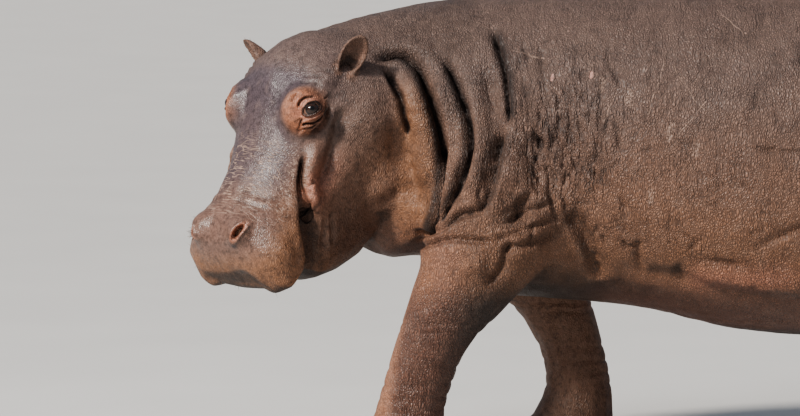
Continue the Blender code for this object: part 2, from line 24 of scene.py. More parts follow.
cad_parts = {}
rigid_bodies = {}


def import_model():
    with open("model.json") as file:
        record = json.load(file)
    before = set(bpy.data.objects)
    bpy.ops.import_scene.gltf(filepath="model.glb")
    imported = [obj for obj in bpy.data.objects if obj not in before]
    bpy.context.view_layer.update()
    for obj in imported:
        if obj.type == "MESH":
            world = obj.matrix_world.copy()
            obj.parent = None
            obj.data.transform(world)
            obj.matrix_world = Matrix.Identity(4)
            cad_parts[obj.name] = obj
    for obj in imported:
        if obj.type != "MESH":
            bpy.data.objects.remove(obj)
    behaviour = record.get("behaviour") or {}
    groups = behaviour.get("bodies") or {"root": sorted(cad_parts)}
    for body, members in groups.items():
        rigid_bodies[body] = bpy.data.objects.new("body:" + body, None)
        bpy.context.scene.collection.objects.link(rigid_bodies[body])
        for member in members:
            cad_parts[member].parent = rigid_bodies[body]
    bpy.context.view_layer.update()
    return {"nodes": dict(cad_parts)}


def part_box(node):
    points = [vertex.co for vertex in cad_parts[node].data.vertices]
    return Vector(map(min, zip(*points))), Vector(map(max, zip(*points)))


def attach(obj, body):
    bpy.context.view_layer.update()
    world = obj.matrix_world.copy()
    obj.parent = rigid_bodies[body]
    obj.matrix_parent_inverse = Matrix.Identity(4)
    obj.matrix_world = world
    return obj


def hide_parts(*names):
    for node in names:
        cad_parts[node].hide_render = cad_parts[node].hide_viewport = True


LOG = logging.getLogger("hippopotamus")
Array = np.ndarray
Point = tuple[float, ...]
Colour = tuple[float, float, float, float]
Material = bpy.types.Material
Mesh = bpy.types.Mesh
Object = bpy.types.Object
Socket = bpy.types.NodeSocket

SAME_PLACE = 0.00002  # corners of a solid closer than this are one


class Side(Enum):
    """A side of the animal, with the sign of its sideways axis."""

    LEFT = 1
    RIGHT = -1

    @property
    def label(self) -> str:
        """The side as the node names spell it."""
        return self.name.lower()


class View(Enum):
    """The direction from which a fold's line is drawn and cast onto the skin."""

    FLANK = "body, from the side: y and z"
    CHEEK = "head, from the side: x and z of the head"
    CROWN = "head, from above: x and y of the head"
    LIDS = "eye, along the gaze: towards the rear corner and upwards"


# ---------------------------------------------------------------- helpers


def srgb(red: int, green: int, blue: int) -> Colour:
    """A display colour of 0 to 255 as linear light."""
    linear = [
        share / 12.92 if share <= 0.04045 else ((share + 0.055) / 1.055) ** 2.4
        for share in (red / 255, green / 255, blue / 255)
    ]
    return (*linear, 1.0)


def ramp(value: Array, start: float, end: float) -> Array:
    """A smooth step from 0 at start to 1 at end."""
    share = np.clip((value - start) / (end - start), 0.0, 1.0)
    return share * share * (3 - 2 * share)


def fall(value: Array, start: float, end: float) -> Array:
    """A smooth step from 1 at start to 0 at end."""
    return 1 - ramp(value, start, end)


def bell(distance: Array, width: float | Array) -> Array:
    """A bell curve, 1 at no distance."""
    return np.exp(-((distance / width) ** 2))


def unit(vector: Point | Array) -> Array:
    """The vector at length 1."""
    vector = np.asarray(vector, float)
    return vector / np.linalg.norm(vector)


def lengths_of(rows: Array) -> Array:
    """The length of each row."""
    return np.linalg.norm(rows, axis=1)


def flow(points: list[Array], step: float) -> Array:
    """A smooth line through points, at even steps.

    Args:
        points: The points that the line passes.
        step: The rough distance between its own points.

    Returns:
        The line's points.
    """
    ends = [2 * points[0] - points[1], *points, 2 * points[-1] - points[-2]]
    line = []
    for before, start, end, after in zip(ends, ends[1:], ends[2:], ends[3:]):
        count = max(2, round(float(np.linalg.norm(end - start)) / step))
        for share in np.arange(count) / count:
            line.append(
                0.5 * (2 * start + (end - before) * share
                       + (2 * before - 5 * start + 4 * end - after) * share**2
                       + (3 * start - before - 3 * end + after) * share**3)
            )
    return np.array([*line, points[-1]])


def ripple(places: Array, scale: Point, seed: float = 0.0) -> Array:
    """Smooth noise from about -1 to 1 at each place, with its own scale along each axis."""
    scaled = places * np.array(scale) + seed
    return np.array([noise.noise(Vector(place)) for place in scaled.tolist()])


def side_share(side: Side) -> float:
    """How much of a mark of the left side the right side has."""
    return 1.0 if side is Side.LEFT else 0.4


def new_object(name: str, mesh: Mesh) -> Object:
    """An object in the scene that holds the mesh."""
    piece = bpy.data.objects.new(name, mesh)
    bpy.context.scene.collection.objects.link(piece)
    return piece


def mesh_from(name: str, shape: bmesh.types.BMesh) -> Mesh:
    """Turns a bmesh into a mesh and frees it."""
    mesh = bpy.data.meshes.new(name)
    shape.to_mesh(mesh)
    shape.free()
    return mesh


def swap(piece: Object, mesh: Mesh) -> None:
    """Gives the piece another mesh and removes its old one."""
    old = piece.data
    piece.data = mesh
    bpy.data.meshes.remove(old)


def apply_modifiers(piece: Object) -> None:
    """Makes what the modifiers show the piece's own mesh."""
    layer = bpy.context.evaluated_depsgraph_get()
    layer.update()
    made = bpy.data.meshes.new_from_object(piece.evaluated_get(layer))
    piece.modifiers.clear()
    swap(piece, made)


def tree_of(piece: Object) -> BVHTree:
    """A search tree over the piece as it is."""
    layer = bpy.context.evaluated_depsgraph_get()
    layer.update()
    return BVHTree.FromObject(piece, layer)


def rows_of(mesh: Mesh, kind: str) -> Array:
    """One vector of every vertex, as rows."""
    flat = np.empty(len(mesh.vertices) * 3, np.float32)
    mesh.vertices.foreach_get(kind, flat)
    return flat.reshape(-1, 3).astype(float)


def places_of(mesh: Mesh) -> Array:
    """The vertices of a mesh as rows."""
    return rows_of(mesh, "co")


def shape_of(mesh: Mesh) -> tuple[Array, Array]:
    """The vertices of a mesh and their normals, as rows."""
    return places_of(mesh), rows_of(mesh, "normal")


def put_places(mesh: Mesh, places: Array) -> None:
    """Moves the vertices of a mesh."""
    mesh.vertices.foreach_set("co", places.astype(np.float32).ravel())
    mesh.update()


def put_mask(mesh: Mesh, name: str, values: Array) -> None:
    """Keeps one number for every vertex of a mesh under a name."""
    layer = mesh.attributes.new(name, "FLOAT", "POINT")
    layer.data.foreach_set("value", values.astype(np.float32))


def weigh(piece: Object, name: str, weights: Array, levels: int = 12) -> None:
    """Gives the piece a vertex group.

    Args:
        piece: The piece.
        name: The group's name.
        weights: A weight of 0 to 1 for each vertex.
        levels: How many steps of weight are told apart.
    """
    group = piece.vertex_groups.new(name=name)
    step = np.round(np.clip(weights, 0, 1) * levels).astype(int)
    for level in range(levels + 1):
        found = np.flatnonzero(step == level)
        if len(found):
            group.add(found.tolist(), level / levels, "REPLACE")


def soften(piece: Object, weights: Array, rounds: int) -> None:
    """Smooths the piece where the weights say."""
    weigh(piece, "softness", weights)
    smooth = piece.modifiers.new("soften", "SMOOTH")
    smooth.factor = 0.5
    smooth.iterations = rounds
    smooth.vertex_group = "softness"
    apply_modifiers(piece)
    piece.vertex_groups.clear()


# ---------------------------------------------------------------- anatomy


@dataclass(frozen=True)
class Axes:
    """A frame of its own: an origin and three unit axes, as rows."""

    origin: Array
    rows: Array

    def local(self, places: Array) -> Array:
        """Model places as places in this frame."""
        return (places - self.origin) @ self.rows.T

    def model(self, places: Array) -> Array:
        """Places in this frame as model places."""
        return np.asarray(places, float) @ self.rows + self.origin

    def turn(self, direction: Point | Array) -> Array:
        """A direction in this frame as one in the model."""
        return np.asarray(direction, float) @ self.rows

    def inner(self, side: Side, along: Point, out: Point, hand: int = 1) -> Array:
        """The axes of a frame within this one, given for the left side.

        Args:
            side: The side that it is for.
            along: Its first axis, roughly.
            out: Its third axis.
            hand: The sign of its second axis.

        Returns:
            The three axes in the model, as rows.
        """
        mirror = np.array((1, side.value, 1))
        third = unit(np.array(out) * mirror)
        first = np.array(along) * mirror
        first = unit(first - third * (first @ third))
        second = np.cross(third, first) * hand
        return np.array([self.turn(axis) for axis in (first, second, third)])


@dataclass(frozen=True)
class Eye:
    """Where one eyeball sits, and the frame of its lids."""

    side: Side
    centre: Array
    radius: float
    lids: Axes


@dataclass(frozen=True)
class Anatomy:
    """The frames that the pieces are placed by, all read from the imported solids."""

    head: Axes
    eyes: dict[Side, Eye]

    HEAD_DROP = math.radians(52.0)  # how far the face points down from level
    EYE_AHEAD = 0.170  # the eyes from the head's origin
    EYE_ABOVE = 0.018
    GAZE = (0.16, 0.78, 0.60)  # the left eye's, in the head's frame
    LID_LINE = (-0.478, 0.594, -0.643)  # across the left eye, in the head's frame
    OFF_BODY = 2.0  # how far off the middle a cast onto the skin starts
    OFF_HEAD = 0.6
    OFF_EYE = 0.3

    @classmethod
    def read(cls) -> Anatomy:
        """Works the frames out from the boxes of the two eyes."""
        corners = {side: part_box(f"eye_{side.label}") for side in Side}
        centres = {side: np.array((low + high) / 2) for side, (low, high) in corners.items()}
        across = unit(centres[Side.LEFT] - centres[Side.RIGHT])
        level = np.array((across[1], -across[0], 0.0))
        up = np.array((0.0, 0.0, 1.0))
        ahead = math.cos(cls.HEAD_DROP) * level - math.sin(cls.HEAD_DROP) * up
        above = math.sin(cls.HEAD_DROP) * level + math.cos(cls.HEAD_DROP) * up
        middle = (centres[Side.LEFT] + centres[Side.RIGHT]) / 2
        origin = middle - cls.EYE_AHEAD * ahead - cls.EYE_ABOVE * above
        head = Axes(origin, np.array((ahead, across, above)))
        eyes = {}
        for side in Side:
            rows = head.inner(side, cls.LID_LINE, cls.GAZE, side.value)
            low, high = corners[side]
            eyes[side] = Eye(side, centres[side], (high - low).z / 2, Axes(centres[side], rows))
        return cls(head, eyes)

    def ray(self, view: View, side: Side, point: Point) -> tuple[Array, Array]:
        """Where a cast onto the skin starts, and its direction, for a point drawn in a view."""
        first, second = point[:2]
        inwards = (0.0, 0.0, -1.0)
        if view is View.FLANK:
            start = np.array((side.value * self.OFF_BODY, first, second))
            return start, np.array((-side.value, 0.0, 0.0))
        if view is View.CHEEK:
            start = self.head.model((first, side.value * self.OFF_HEAD, second))
            return start, self.head.turn((0.0, -side.value, 0.0))
        if view is View.CROWN:
            start = self.head.model((first, side.value * second, self.OFF_HEAD))
            return start, self.head.turn(inwards)
        lids = self.eyes[side].lids
        return lids.model((first, second, self.OFF_EYE)), lids.turn(inwards)


# ---------------------------------------------------------------- folds


@dataclass(frozen=True)
class Fold:
    """A furrow in the skin, or a ridge where its depth is below nothing.

    The line is drawn in a view and cast onto the skin. Left and right are as one walks along it.
    """

    view: View
    points: tuple[Point, ...]
    width: float
    depth: float
    skew: float = 0.0  # above 0 the left bank is gentle and the right one steep
    lip: float = 0.0  # how far the banks swell
    lean: float = 0.0  # how far the steep bank hangs over the furrow
    fade: float = 0.18  # the share of the line over which each end dies out
    dirt: float = 1.0  # how dark its floor is painted: painted shade in the furrow, with some grime
    share: float = 1.0  # how much of it the animal's right side has

    @classmethod
    def drawn(cls, view: View, parts: int, line: tuple[float, ...], width: float, depth: float,
              lip: float = 0.0, lean: float = 0.0, **rest: float) -> Fold:
        """A fold whose lengths are counted in parts of a metre.

        Args:
            view: The view that it is drawn in.
            parts: How many parts make a metre.
            line: The two numbers of its first point, then those of the next, and so on.
            width: Its width.
            depth: Its depth.
            lip: How far the banks swell.
            lean: How far the steep bank hangs over.
            rest: The shares and signs, which are not lengths.

        Returns:
            The fold, in metres.
        """
        numbers = [number / parts for number in line]
        points = tuple(zip(numbers[::2], numbers[1::2]))
        return cls(view, points, width / parts, depth / parts, lip=lip / parts, lean=lean / parts,
                   **rest)

    def ends(self, along: Array) -> Array:
        """How strong the fold is at each share of its way: it dies out at both ends."""
        return ramp(along, 0, self.fade) * ramp(1 - along, 0, self.fade)

    def line(self, anatomy: Anatomy, side: Side, tree: BVHTree) -> Array | None:
        """The fold's line on the skin, or nothing where it misses it."""
        found = []
        for point in self.points:
            start, direction = anatomy.ray(self.view, side, point)
            hit = tree.ray_cast(Vector(start), Vector(direction))[0]
            if hit is not None:
                found.append(np.array(hit))
        if len(found) < 2:
            return None
        line = flow(found, 0.012)
        return np.array([tree.find_nearest(Vector(place))[0] for place in line])


@dataclass
class Beside:
    """How the vertices near a line lie to it."""

    rows: Array  # which vertices
    across: Array  # signed distance, above 0 on the left
    along: Array  # 0 at the start, 1 at the end
    left: Array  # the direction to the left

    @classmethod
    def of(cls, line: Array, places: Array, normals: Array, reach: float) -> Beside:
        """Measures the vertices within reach of the line.

        Args:
            line: The line's points.
            places: All vertices.
            normals: Their normals.
            reach: How far from the line to look.

        Returns:
            What was measured, for those vertices alone.
        """
        low, high = line.min(0) - reach, line.max(0) + reach
        rows = np.flatnonzero(np.all((places > low) & (places < high), axis=1))
        near = places[rows]
        best = np.full(len(rows), np.inf)
        along = np.zeros(len(rows))
        offset = np.zeros((len(rows), 3))
        tangent = np.zeros((len(rows), 3))
        lengths = lengths_of(np.diff(line, axis=0))
        total = max(lengths.sum(), 1e-6)
        walked = 0.0
        for start, end, length in zip(line, line[1:], lengths):
            if length < 1e-6:
                continue
            ahead = (end - start) / length
            share = np.clip((near - start) @ ahead / length, 0, 1)
            away = near - (start + share[:, None] * (end - start))
            distance = np.einsum("ij,ij->i", away, away)
            closer = distance < best
            best[closer] = distance[closer]
            along[closer] = (walked + share[closer] * length) / total
            offset[closer] = away[closer]
            tangent[closer] = ahead
            walked += length
        keep = best < reach * reach
        rows, along, offset, tangent = rows[keep], along[keep], offset[keep], tangent[keep]
        left = np.cross(normals[rows], tangent)
        left /= np.maximum(np.linalg.norm(left, axis=1, keepdims=True), 1e-9)
        sign = np.sign(np.einsum("ij,ij->i", left, offset))
        return cls(rows, sign * np.sqrt(best[keep]), along, left)


flank = partial(Fold.drawn, View.FLANK, 1000)
cheek = partial(Fold.drawn, View.CHEEK, 1000)
crown = partial(Fold.drawn, View.CROWN, 1000)
lid = partial(Fold.drawn, View.LIDS, 10_000)

FLANK_FOLDS = (
    # between the jowl and the big roll of the neck
    flank((-1014, 1203, -995, 1176, -977, 1141, -963, 1107, -957, 1072, -951, 1034, -952, 995),
          11, 28, skew=0.3, lip=3, lean=4, share=0.0),
    flank((-955, 1060, -952, 990, -951, 934, -940, 876, -922, 819, -905, 770), 34, 32, fade=0.25,
          dirt=0.25, share=0.2),
    flank((-970, 1185, -928, 1120, -905, 1049, -888, 962, -885, 877, -896, 804), 30, -16, fade=0.25,
          dirt=0.0, share=0.2),
    # the deep fold behind that roll
    flank((-1040, 1214, -1000, 1226, -958, 1226, -925, 1200, -899, 1136, -870, 1050, -850, 957,
           -852, 877, -881, 761, -915, 700), 16, 46, skew=0.55, lip=5, lean=14, fade=0.12, dirt=1.1,
          share=0.25),
    flank((-876, 1192, -844, 1122, -821, 1037, -815, 965, -821, 894, -847, 822), 18, -12, fade=0.22,
          dirt=0.0, share=0.3),
    flank((-845, 1243, -829, 1205, -794, 1120, -771, 1023, -777, 939, -801, 870, -841, 794,
           -880, 715), 14, 36, skew=0.45, lip=3, lean=8, fade=0.13, share=0.3),
    flank((-766, 1165, -748, 1095, -737, 1025, -740, 953, -757, 882, -789, 824), 18, -9, fade=0.22,
          dirt=0.0, share=0.4),
    flank((-725, 1232, -700, 1150, -686, 1054, -690, 969, -712, 884, -760, 812), 26, 26, fade=0.22,
          dirt=0.5, share=0.5),
    # the ledge in front of the shoulder
    flank((-690, 1322, -676, 1285, -654, 1212, -644, 1139, -640, 1077, -650, 1020), 14, 32,
          skew=-0.55, lip=4, lean=10, dirt=1.2, share=0.5),
    flank((-655, 1045, -668, 963, -680, 901, -703, 827, -735, 775), 15, 28, skew=-0.5, lip=6,
          lean=6, share=0.5),
    flank((-632, 985, -655, 900, -690, 810, -715, 740), 26, -12, fade=0.3, dirt=0.0, share=0.5),
    # the hollow behind the shoulder blade
    flank((-600, 1050, -575, 960, -558, 890, -552, 815), 40, 24, fade=0.35, dirt=0.25, share=0.6),
    # from the shoulder to the throat
    flank((-690, 796, -784, 780, -850, 737, -900, 690), 12, 20, skew=-0.3, lip=2),
    flank((-905, 672, -887, 687, -812, 710, -732, 706, -660, 700), 9, 14, skew=0.3, dirt=0.9),
    # the bulge over the elbow, and the furrow round it
    flank((-790, 655, -745, 640, -700, 632), 34, -22, fade=0.4, dirt=0.0),
    flank((-640, 720, -652, 670, -672, 615, -720, 570), 14, 15, skew=-0.3, fade=0.25, dirt=0.8),
    # pleats of the shoulder, over the elbow
    flank((-735, 700, -639, 726, -558, 752, -469, 786), 9, 9, lip=1, fade=0.38, dirt=0.5),
    flank((-714, 740, -628, 774, -534, 812, -480, 850), 10, 9, lip=1, fade=0.38, dirt=0.4),
    flank((-690, 770, -620, 812, -560, 862), 9, 7, lip=1, fade=0.38, dirt=0.4),
    flank((-720, 678, -630, 690, -530, 716, -450, 740), 12, 10, lip=2, fade=0.38, dirt=0.5),
    flank((-588, 860, -600, 824, -622, 780, -645, 723), 24, 26, skew=0.3, fade=0.4, dirt=0.7),
    flank((-572, 1040, -534, 939, -523, 876, -540, 805), 10, 13, fade=0.3, dirt=0.7),
    flank((-515, 992, -488, 922, -482, 850), 8, 10, fade=0.3, dirt=0.7),
    flank((-610, 1190, -590, 1100, -585, 1010), 10, 7, fade=0.3, dirt=0.5),
    flank((-560, 1240, -545, 1160, -530, 1070), 10, 6, fade=0.3, dirt=0.5),
    flank((-505, 1080, -470, 980, -452, 880), 9, 6, fade=0.3, dirt=0.5),
    # armpit
    flank((-480, 802, -458, 757, -428, 704, -403, 636, -392, 575), 22, 24, skew=0.4, dirt=0.9),
    # belly
    flank((-276, 730, -271, 660, -258, 585), 12, 12, fade=0.45, dirt=0.3),
    flank((-132, 602, -80, 596, 20, 586, 120, 575, 260, 560), 40, -13, fade=0.24, dirt=0.0,
          share=0.6),
    flank((-138, 660, -150, 625, -152, 590, -135, 545), 19, 9, fade=0.45, dirt=0.3, share=0.6),
    flank((-400, 625, -270, 604, -150, 590, -30, 564, 100, 530, 240, 512), 30, 7, fade=0.3,
          dirt=0.1),
    flank((-130, 655, -30, 640, 80, 628), 14, 8, fade=0.4, dirt=0.3),
    # in front of the thigh
    flank((20, 668, 133, 719, 220, 754, 360, 800), 13, 11, skew=0.4, fade=0.35, dirt=0.3),
    flank((880, 560, 830, 660, 815, 760, 850, 870, 920, 960), 24, 20, skew=-0.4, lip=4, dirt=0.5),
    flank((780, 640, 730, 740, 740, 840), 18, 9, dirt=0.3),
    flank((16, 982, 102, 974, 188, 969, 290, 966), 5, 6, fade=0.35, dirt=0.6, share=0.0),
    # behind the thigh
    flank((1370, 980, 1330, 860, 1300, 740, 1290, 640), 16, 12, dirt=0.5),
    flank((1180, 560, 1120, 520, 1050, 510), 10, 7, dirt=0.4),
)

HEAD_FOLDS = (
    # the fleshy fold at the corner of the mouth, its furrow and the valley behind it
    cheek((268, -52, 279, -56, 305, -69, 330, -84, 356, -98, 380, -113, 400, -132, 411, -157,
           416, -192), 8.5, 30, skew=-0.3, lean=6, fade=0.25, dirt=1.4),
    cheek((215, -62, 250, -74, 280, -82, 306, -90, 333, -106, 360, -128, 378, -152, 389, -184),
          23, -23, fade=0.25, dirt=0.0),
    cheek((319, -114, 341, -118, 362, -114), 5, 7, dirt=0.8),
    cheek((350, -155, 372, -160, 400, -158), 5, 6, dirt=0.7),
    cheek((95, -45, 133, -62, 170, -81, 208, -102, 242, -114, 274, -126, 308, -139, 345, -150),
          19, 22, fade=0.25, dirt=0.8),
    cheek((385, -205, 423, -245, 465, -275), 9, 8, dirt=0.4),
    cheek((360, -215, 400, -258, 440, -292), 8, 7, dirt=0.4),
    # below the jowl
    cheek((60, -330, 130, -350, 210, -350, 280, -320), 20, 6, dirt=0.2),
    # above the nostril, across the muzzle
    crown((470, 20, 482, 80, 470, 140), 12, 4, dirt=0.3),
    crown((435, 15, 448, 80, 432, 150), 10, 3, dirt=0.3),
    # round the root of the ear
    crown((62, 135, 50, 158, 40, 185), 6, 5, dirt=0.5),
    crown((85, 120, 74, 150, 62, 182), 6, 4, dirt=0.4),
    crown((108, 118, 98, 150, 86, 180), 6, 3, dirt=0.4),
)


def creases(count: int = 130, seed: int = 11) -> tuple[Fold, ...]:
    """Short, shallow creases scattered over the shoulder and the flank.

    Args:
        count: How many.
        seed: The start of the random draws.

    Returns:
        The creases.
    """
    dice = random.Random(seed)
    found = []
    for _ in range(count):
        along, height = dice.uniform(-0.66, 1.05), dice.uniform(0.66, 1.24)
        if dice.random() < 0.4:
            along, height = dice.gauss(-0.50, 0.08), dice.gauss(0.99, 0.11)
        upright = along < -0.30 or dice.random() < 0.45
        turn = dice.gauss(1.75, 0.28) if upright else dice.uniform(-0.5, 1.3)
        half = dice.uniform(0.016, 0.055)
        reach = (half * math.cos(turn), half * math.sin(turn))
        bend = dice.uniform(-0.25, 0.25)
        points = ((along - reach[0], height - reach[1]),
                  (along - reach[1] * bend, height + reach[0] * bend),
                  (along + reach[0], height + reach[1]))
        faint = 1.0 if along < -0.30 else 0.55
        found.append(
            Fold(View.FLANK, points, dice.uniform(0.0060, 0.0090),
                 faint * dice.uniform(0.004, 0.008), skew=dice.uniform(-0.4, 0.4),
                 lip=0.0012 * faint, fade=0.42, dirt=faint * dice.uniform(0.3, 0.9), share=0.8)
        )
    return tuple(found)


LID_FOLDS = (
    # the furrow that runs down from the front corner
    lid((-300, -218, -325, -340, -345, -470, -390, -650), 40, 85, fade=0.15, dirt=1.1),
    # above the upper lid
    lid((120, 370, 9, 370, -190, 345, -336, 235, -390, 109, -400, 0), 34, 70, lip=12, dirt=0.9),
    lid((-300, 520, -450, 430, -554, 254, -590, 73, -536, -180, -464, -400), 50, 45, dirt=0.7),
    # below the lower lid
    lid((-257, -254, -130, -270, -10, -254, 130, -190, 244, -109, 320, 0, 352, 109), 30, 60, lip=14,
        dirt=1.0),
    lid((-354, -580, -228, -435, -90, -415, 62, -385, 200, -300, 316, -181, 406, 0), 34, 75, lip=18,
        dirt=1.1),
    lid((-409, -689, -264, -570, -130, -545, 0, -500, 130, -420, 244, -326), 34, 60, lip=14,
        dirt=0.9),
    # round the foot of the orbit
    lid((-107, -747, 40, -650, 207, -520, 330, -410, 420, -290, 479, -73, 497, 181, 440, 360),
        85, 190, fade=0.28, dirt=1.3),
)


# ---------------------------------------------------------------- the skin


@dataclass
class Lids:
    """The opening between the lids, on a sphere round the eyeball."""

    front: float = 0.0330  # from the middle to the front corner, along the eyeball
    rear: float = 0.0350
    above: float = 0.0205
    below: float = 0.0165
    tilt: float = math.radians(29.0)
    roundness: float = 1.6
    thickness: float = 0.0042  # at the opening's edge
    growth: float = 0.30  # how much thicker for each distance beyond it
    reach: float = 0.075  # how far from the eyeball's middle the skin is shaped
    least: float = 0.0022  # the lids are nowhere thinner
    sunk: float = 0.0045  # how far the hidden skin lies behind the eyeball's front

    def turned(self, across: Array, up: Array) -> tuple[Array, Array]:
        """Distances across and up the eye, as distances along and over the tilted opening."""
        cosine, sine = math.cos(self.tilt), math.sin(self.tilt)
        return across * cosine + up * sine, up * cosine - across * sine

    def beyond(self, eye: Eye, places: Array) -> tuple[Array, Array, Array]:
        """How far each place lies beyond the opening's edge, along the eyeball.

        Args:
            eye: The eye.
            places: Places in the model.

        Returns:
            The distance beyond the edge, the distance from the eyeball's middle, and the
            direction from there.
        """
        local = eye.lids.local(places)
        distance = lengths_of(local)
        direction = local / np.maximum(distance[:, None], 1e-9)
        angle = np.arccos(np.clip(direction[:, 2], -1, 1))
        flat = direction[:, :2] / np.maximum(lengths_of(direction[:, :2]), 1e-9)[:, None]
        across, up = (flat * (angle * eye.radius)[:, None]).T
        turned, raised = self.turned(across, up)
        wide = np.where(turned > 0, self.rear, self.front)
        tall = np.where(raised > 0, self.above, self.below)
        power = self.roundness
        size = ((np.abs(turned) / wide) ** power + (np.abs(raised) / tall) ** power) ** (1 / power)
        reach = np.hypot(turned, raised)
        edge = reach / np.maximum(size, 1e-6)
        return reach - edge, distance, direction

    def shape(self, eye: Eye, places: Array) -> Array:
        """Moves the skin near the eye: lids outside the opening, and out of sight inside it."""
        near = np.flatnonzero(lengths_of(places - eye.centre) < self.reach)
        beyond, distance, direction = self.beyond(eye, places[near])
        shell = eye.radius + self.thickness + self.growth * np.maximum(beyond, 0)
        blend = fall(beyond, 0.004, 0.024)
        target = distance + (shell - distance) * blend
        hidden = eye.radius - self.sunk
        inside = fall(beyond, -0.0022, 0.0004)
        target = target + (hidden - target) * inside
        target = np.where(direction[:, 2] < -0.2, distance, target)
        moved = places.copy()
        moved[near] = eye.lids.model(direction * target[:, None])
        return moved


@dataclass(frozen=True)
class Nostril:
    """A slit on top of the muzzle, with a raised rim."""

    middle: Point = (0.576, 0.105, -0.026)  # in the head's frame
    slit: Point = (-0.903, 0.415, 0.108)
    out: Point = (0.42, 0.62, 0.66)
    half_length: float = 0.029
    half_width: float = 0.0112
    depth: float = 0.024
    rim: float = 0.0045
    thick: float = 0.05  # how far off the slit's own plane the skin still belongs to it

    FAR = 9.0  # the share of a place that does not belong to the slit

    def frame(self, anatomy: Anatomy, side: Side) -> Axes:
        """The slit's frame: along it, across it and outwards."""
        middle = np.array(self.middle) * (1, side.value, 1)
        return Axes(anatomy.head.model(middle), anatomy.head.inner(side, self.slit, self.out))

    def reach(self, anatomy: Anatomy, side: Side, places: Array) -> Array:
        """How far out each place lies, as a share of the slit: 1 at its edge."""
        along, across, out = self.frame(anatomy, side).local(places).T
        curved = across - 0.25 * self.half_width * (1 - (along / self.half_length) ** 2)
        share = np.hypot(along / self.half_length, curved / self.half_width)
        return np.where(np.abs(out) < self.thick, share, self.FAR)

    def shape(self, anatomy: Anatomy, side: Side, places: Array) -> Array:
        """How far the skin moves outwards along the slit's own axis."""
        share = self.reach(anatomy, side, places)
        hole = -self.depth * fall(share, 0.35, 1.05)
        return hole + self.rim * bell(share - 1.45, 0.42)


@dataclass(frozen=True)
class Mouth:
    """The edge of the upper lip and the hollow below it, drawn in the head's middle plane."""

    line: tuple[Point, ...] = ((0.800, -0.234), (0.640, -0.234), (0.590, -0.241), (0.555, -0.234),
                               (0.522, -0.212), (0.495, -0.182), (0.470, -0.157), (0.435, -0.134),
                               (0.396, -0.113), (0.356, -0.098), (0.320, -0.078))
    rear: tuple[Point, ...] = ((0.470, -0.420), (0.440, -0.300), (0.424, -0.245), (0.414, -0.200),
                               (0.404, -0.160), (0.396, -0.113), (0.380, -0.050))
    depth: float = 0.016
    width: float = 0.0065
    pout: float = 0.004  # how far the lip's edge stands out
    hollow: float = 0.030  # how deep the side of the jaw lies behind the lip

    @staticmethod
    def beside(flat: Array, line: tuple[Point, ...]) -> Array:
        """How far each place lies from a line, above 0 on the left as one walks along it."""
        best = np.full(len(flat), np.inf)
        signed = np.zeros(len(flat))
        for start, end in zip(np.array(line), np.array(line)[1:]):
            ahead = end - start
            length = np.linalg.norm(ahead)
            ahead = ahead / length
            share = np.clip((flat - start) @ ahead, 0, length)
            away = flat - start - share[:, None] * ahead
            distance = lengths_of(away)
            side = np.sign(ahead[0] * away[:, 1] - ahead[1] * away[:, 0])
            closer = distance < best
            best[closer] = distance[closer]
            signed[closer] = (side * distance)[closer]
        return signed

    def below(self, local: Array) -> tuple[Array, Array]:
        """How far below the lip's edge each place lies, and how much the edge reaches it."""
        return self.beside(local[:, (0, 2)], self.line), ramp(local[:, 0], 0.345, 0.415)

    def recess(self, local: Array) -> Array:
        """1 in the hollow between the upper lip and the corner of the mouth."""
        below = self.beside(local[:, (0, 2)], self.line)
        ahead = -self.beside(local[:, (0, 2)], self.rear)
        inside = ramp(below, -0.003, 0.010) * ramp(ahead, -0.016, 0.012)
        front = 1 - 0.75 * ramp(local[:, 0], 0.56, 0.63)
        return inside * front * fall(below, 0.050, 0.115)

    def shape(self, local: Array) -> Array:
        """How far the skin moves inwards, as a depth below nothing."""
        below, there = self.below(local)
        groove = self.depth * bell(below - 0.003, self.width)
        pout = self.pout * bell(below + self.width * 3.2, self.width * 2.0)
        return there * (pout - groove) - self.hollow * self.recess(local)


@dataclass(frozen=True)
class Rings:
    """Creases round the legs, above the feet."""

    heights: tuple[float, ...] = (0.20, 0.235, 0.275, 0.32, 0.43, 0.455)
    width: float = 0.007
    depth: float = 0.005
    lowest: float = 0.15  # the skin below this height is left alone
    highest: float = 0.50
    foremost: float = -1.15  # and so is the muzzle, which lies before this

    def shape(self, places: Array) -> Array:
        """How far the skin moves inwards, as a depth below nothing."""
        _, along, height = places.T
        legs = (height > self.lowest) & (height < self.highest) & (along > self.foremost)
        moved = np.zeros(len(places))
        near = places[legs]
        wander = 0.012 * ripple(near, (9, 9, 3), 4.0)
        strength = self.depth * np.clip(0.55 + 0.6 * ripple(near, (7, 7, 12), 9.0), 0.1, 1)
        for ring in self.heights:
            moved[legs] -= strength * bell(near[:, 2] - ring + wander, self.width)
        return moved


class Marks(dict[str, Array]):
    """Masks of the hide by name, one number for every vertex."""

    def lift(self, name: str, values: Array) -> None:
        """Raises a mask to the values where they lie above it."""
        self[name] = np.maximum(self[name], values)


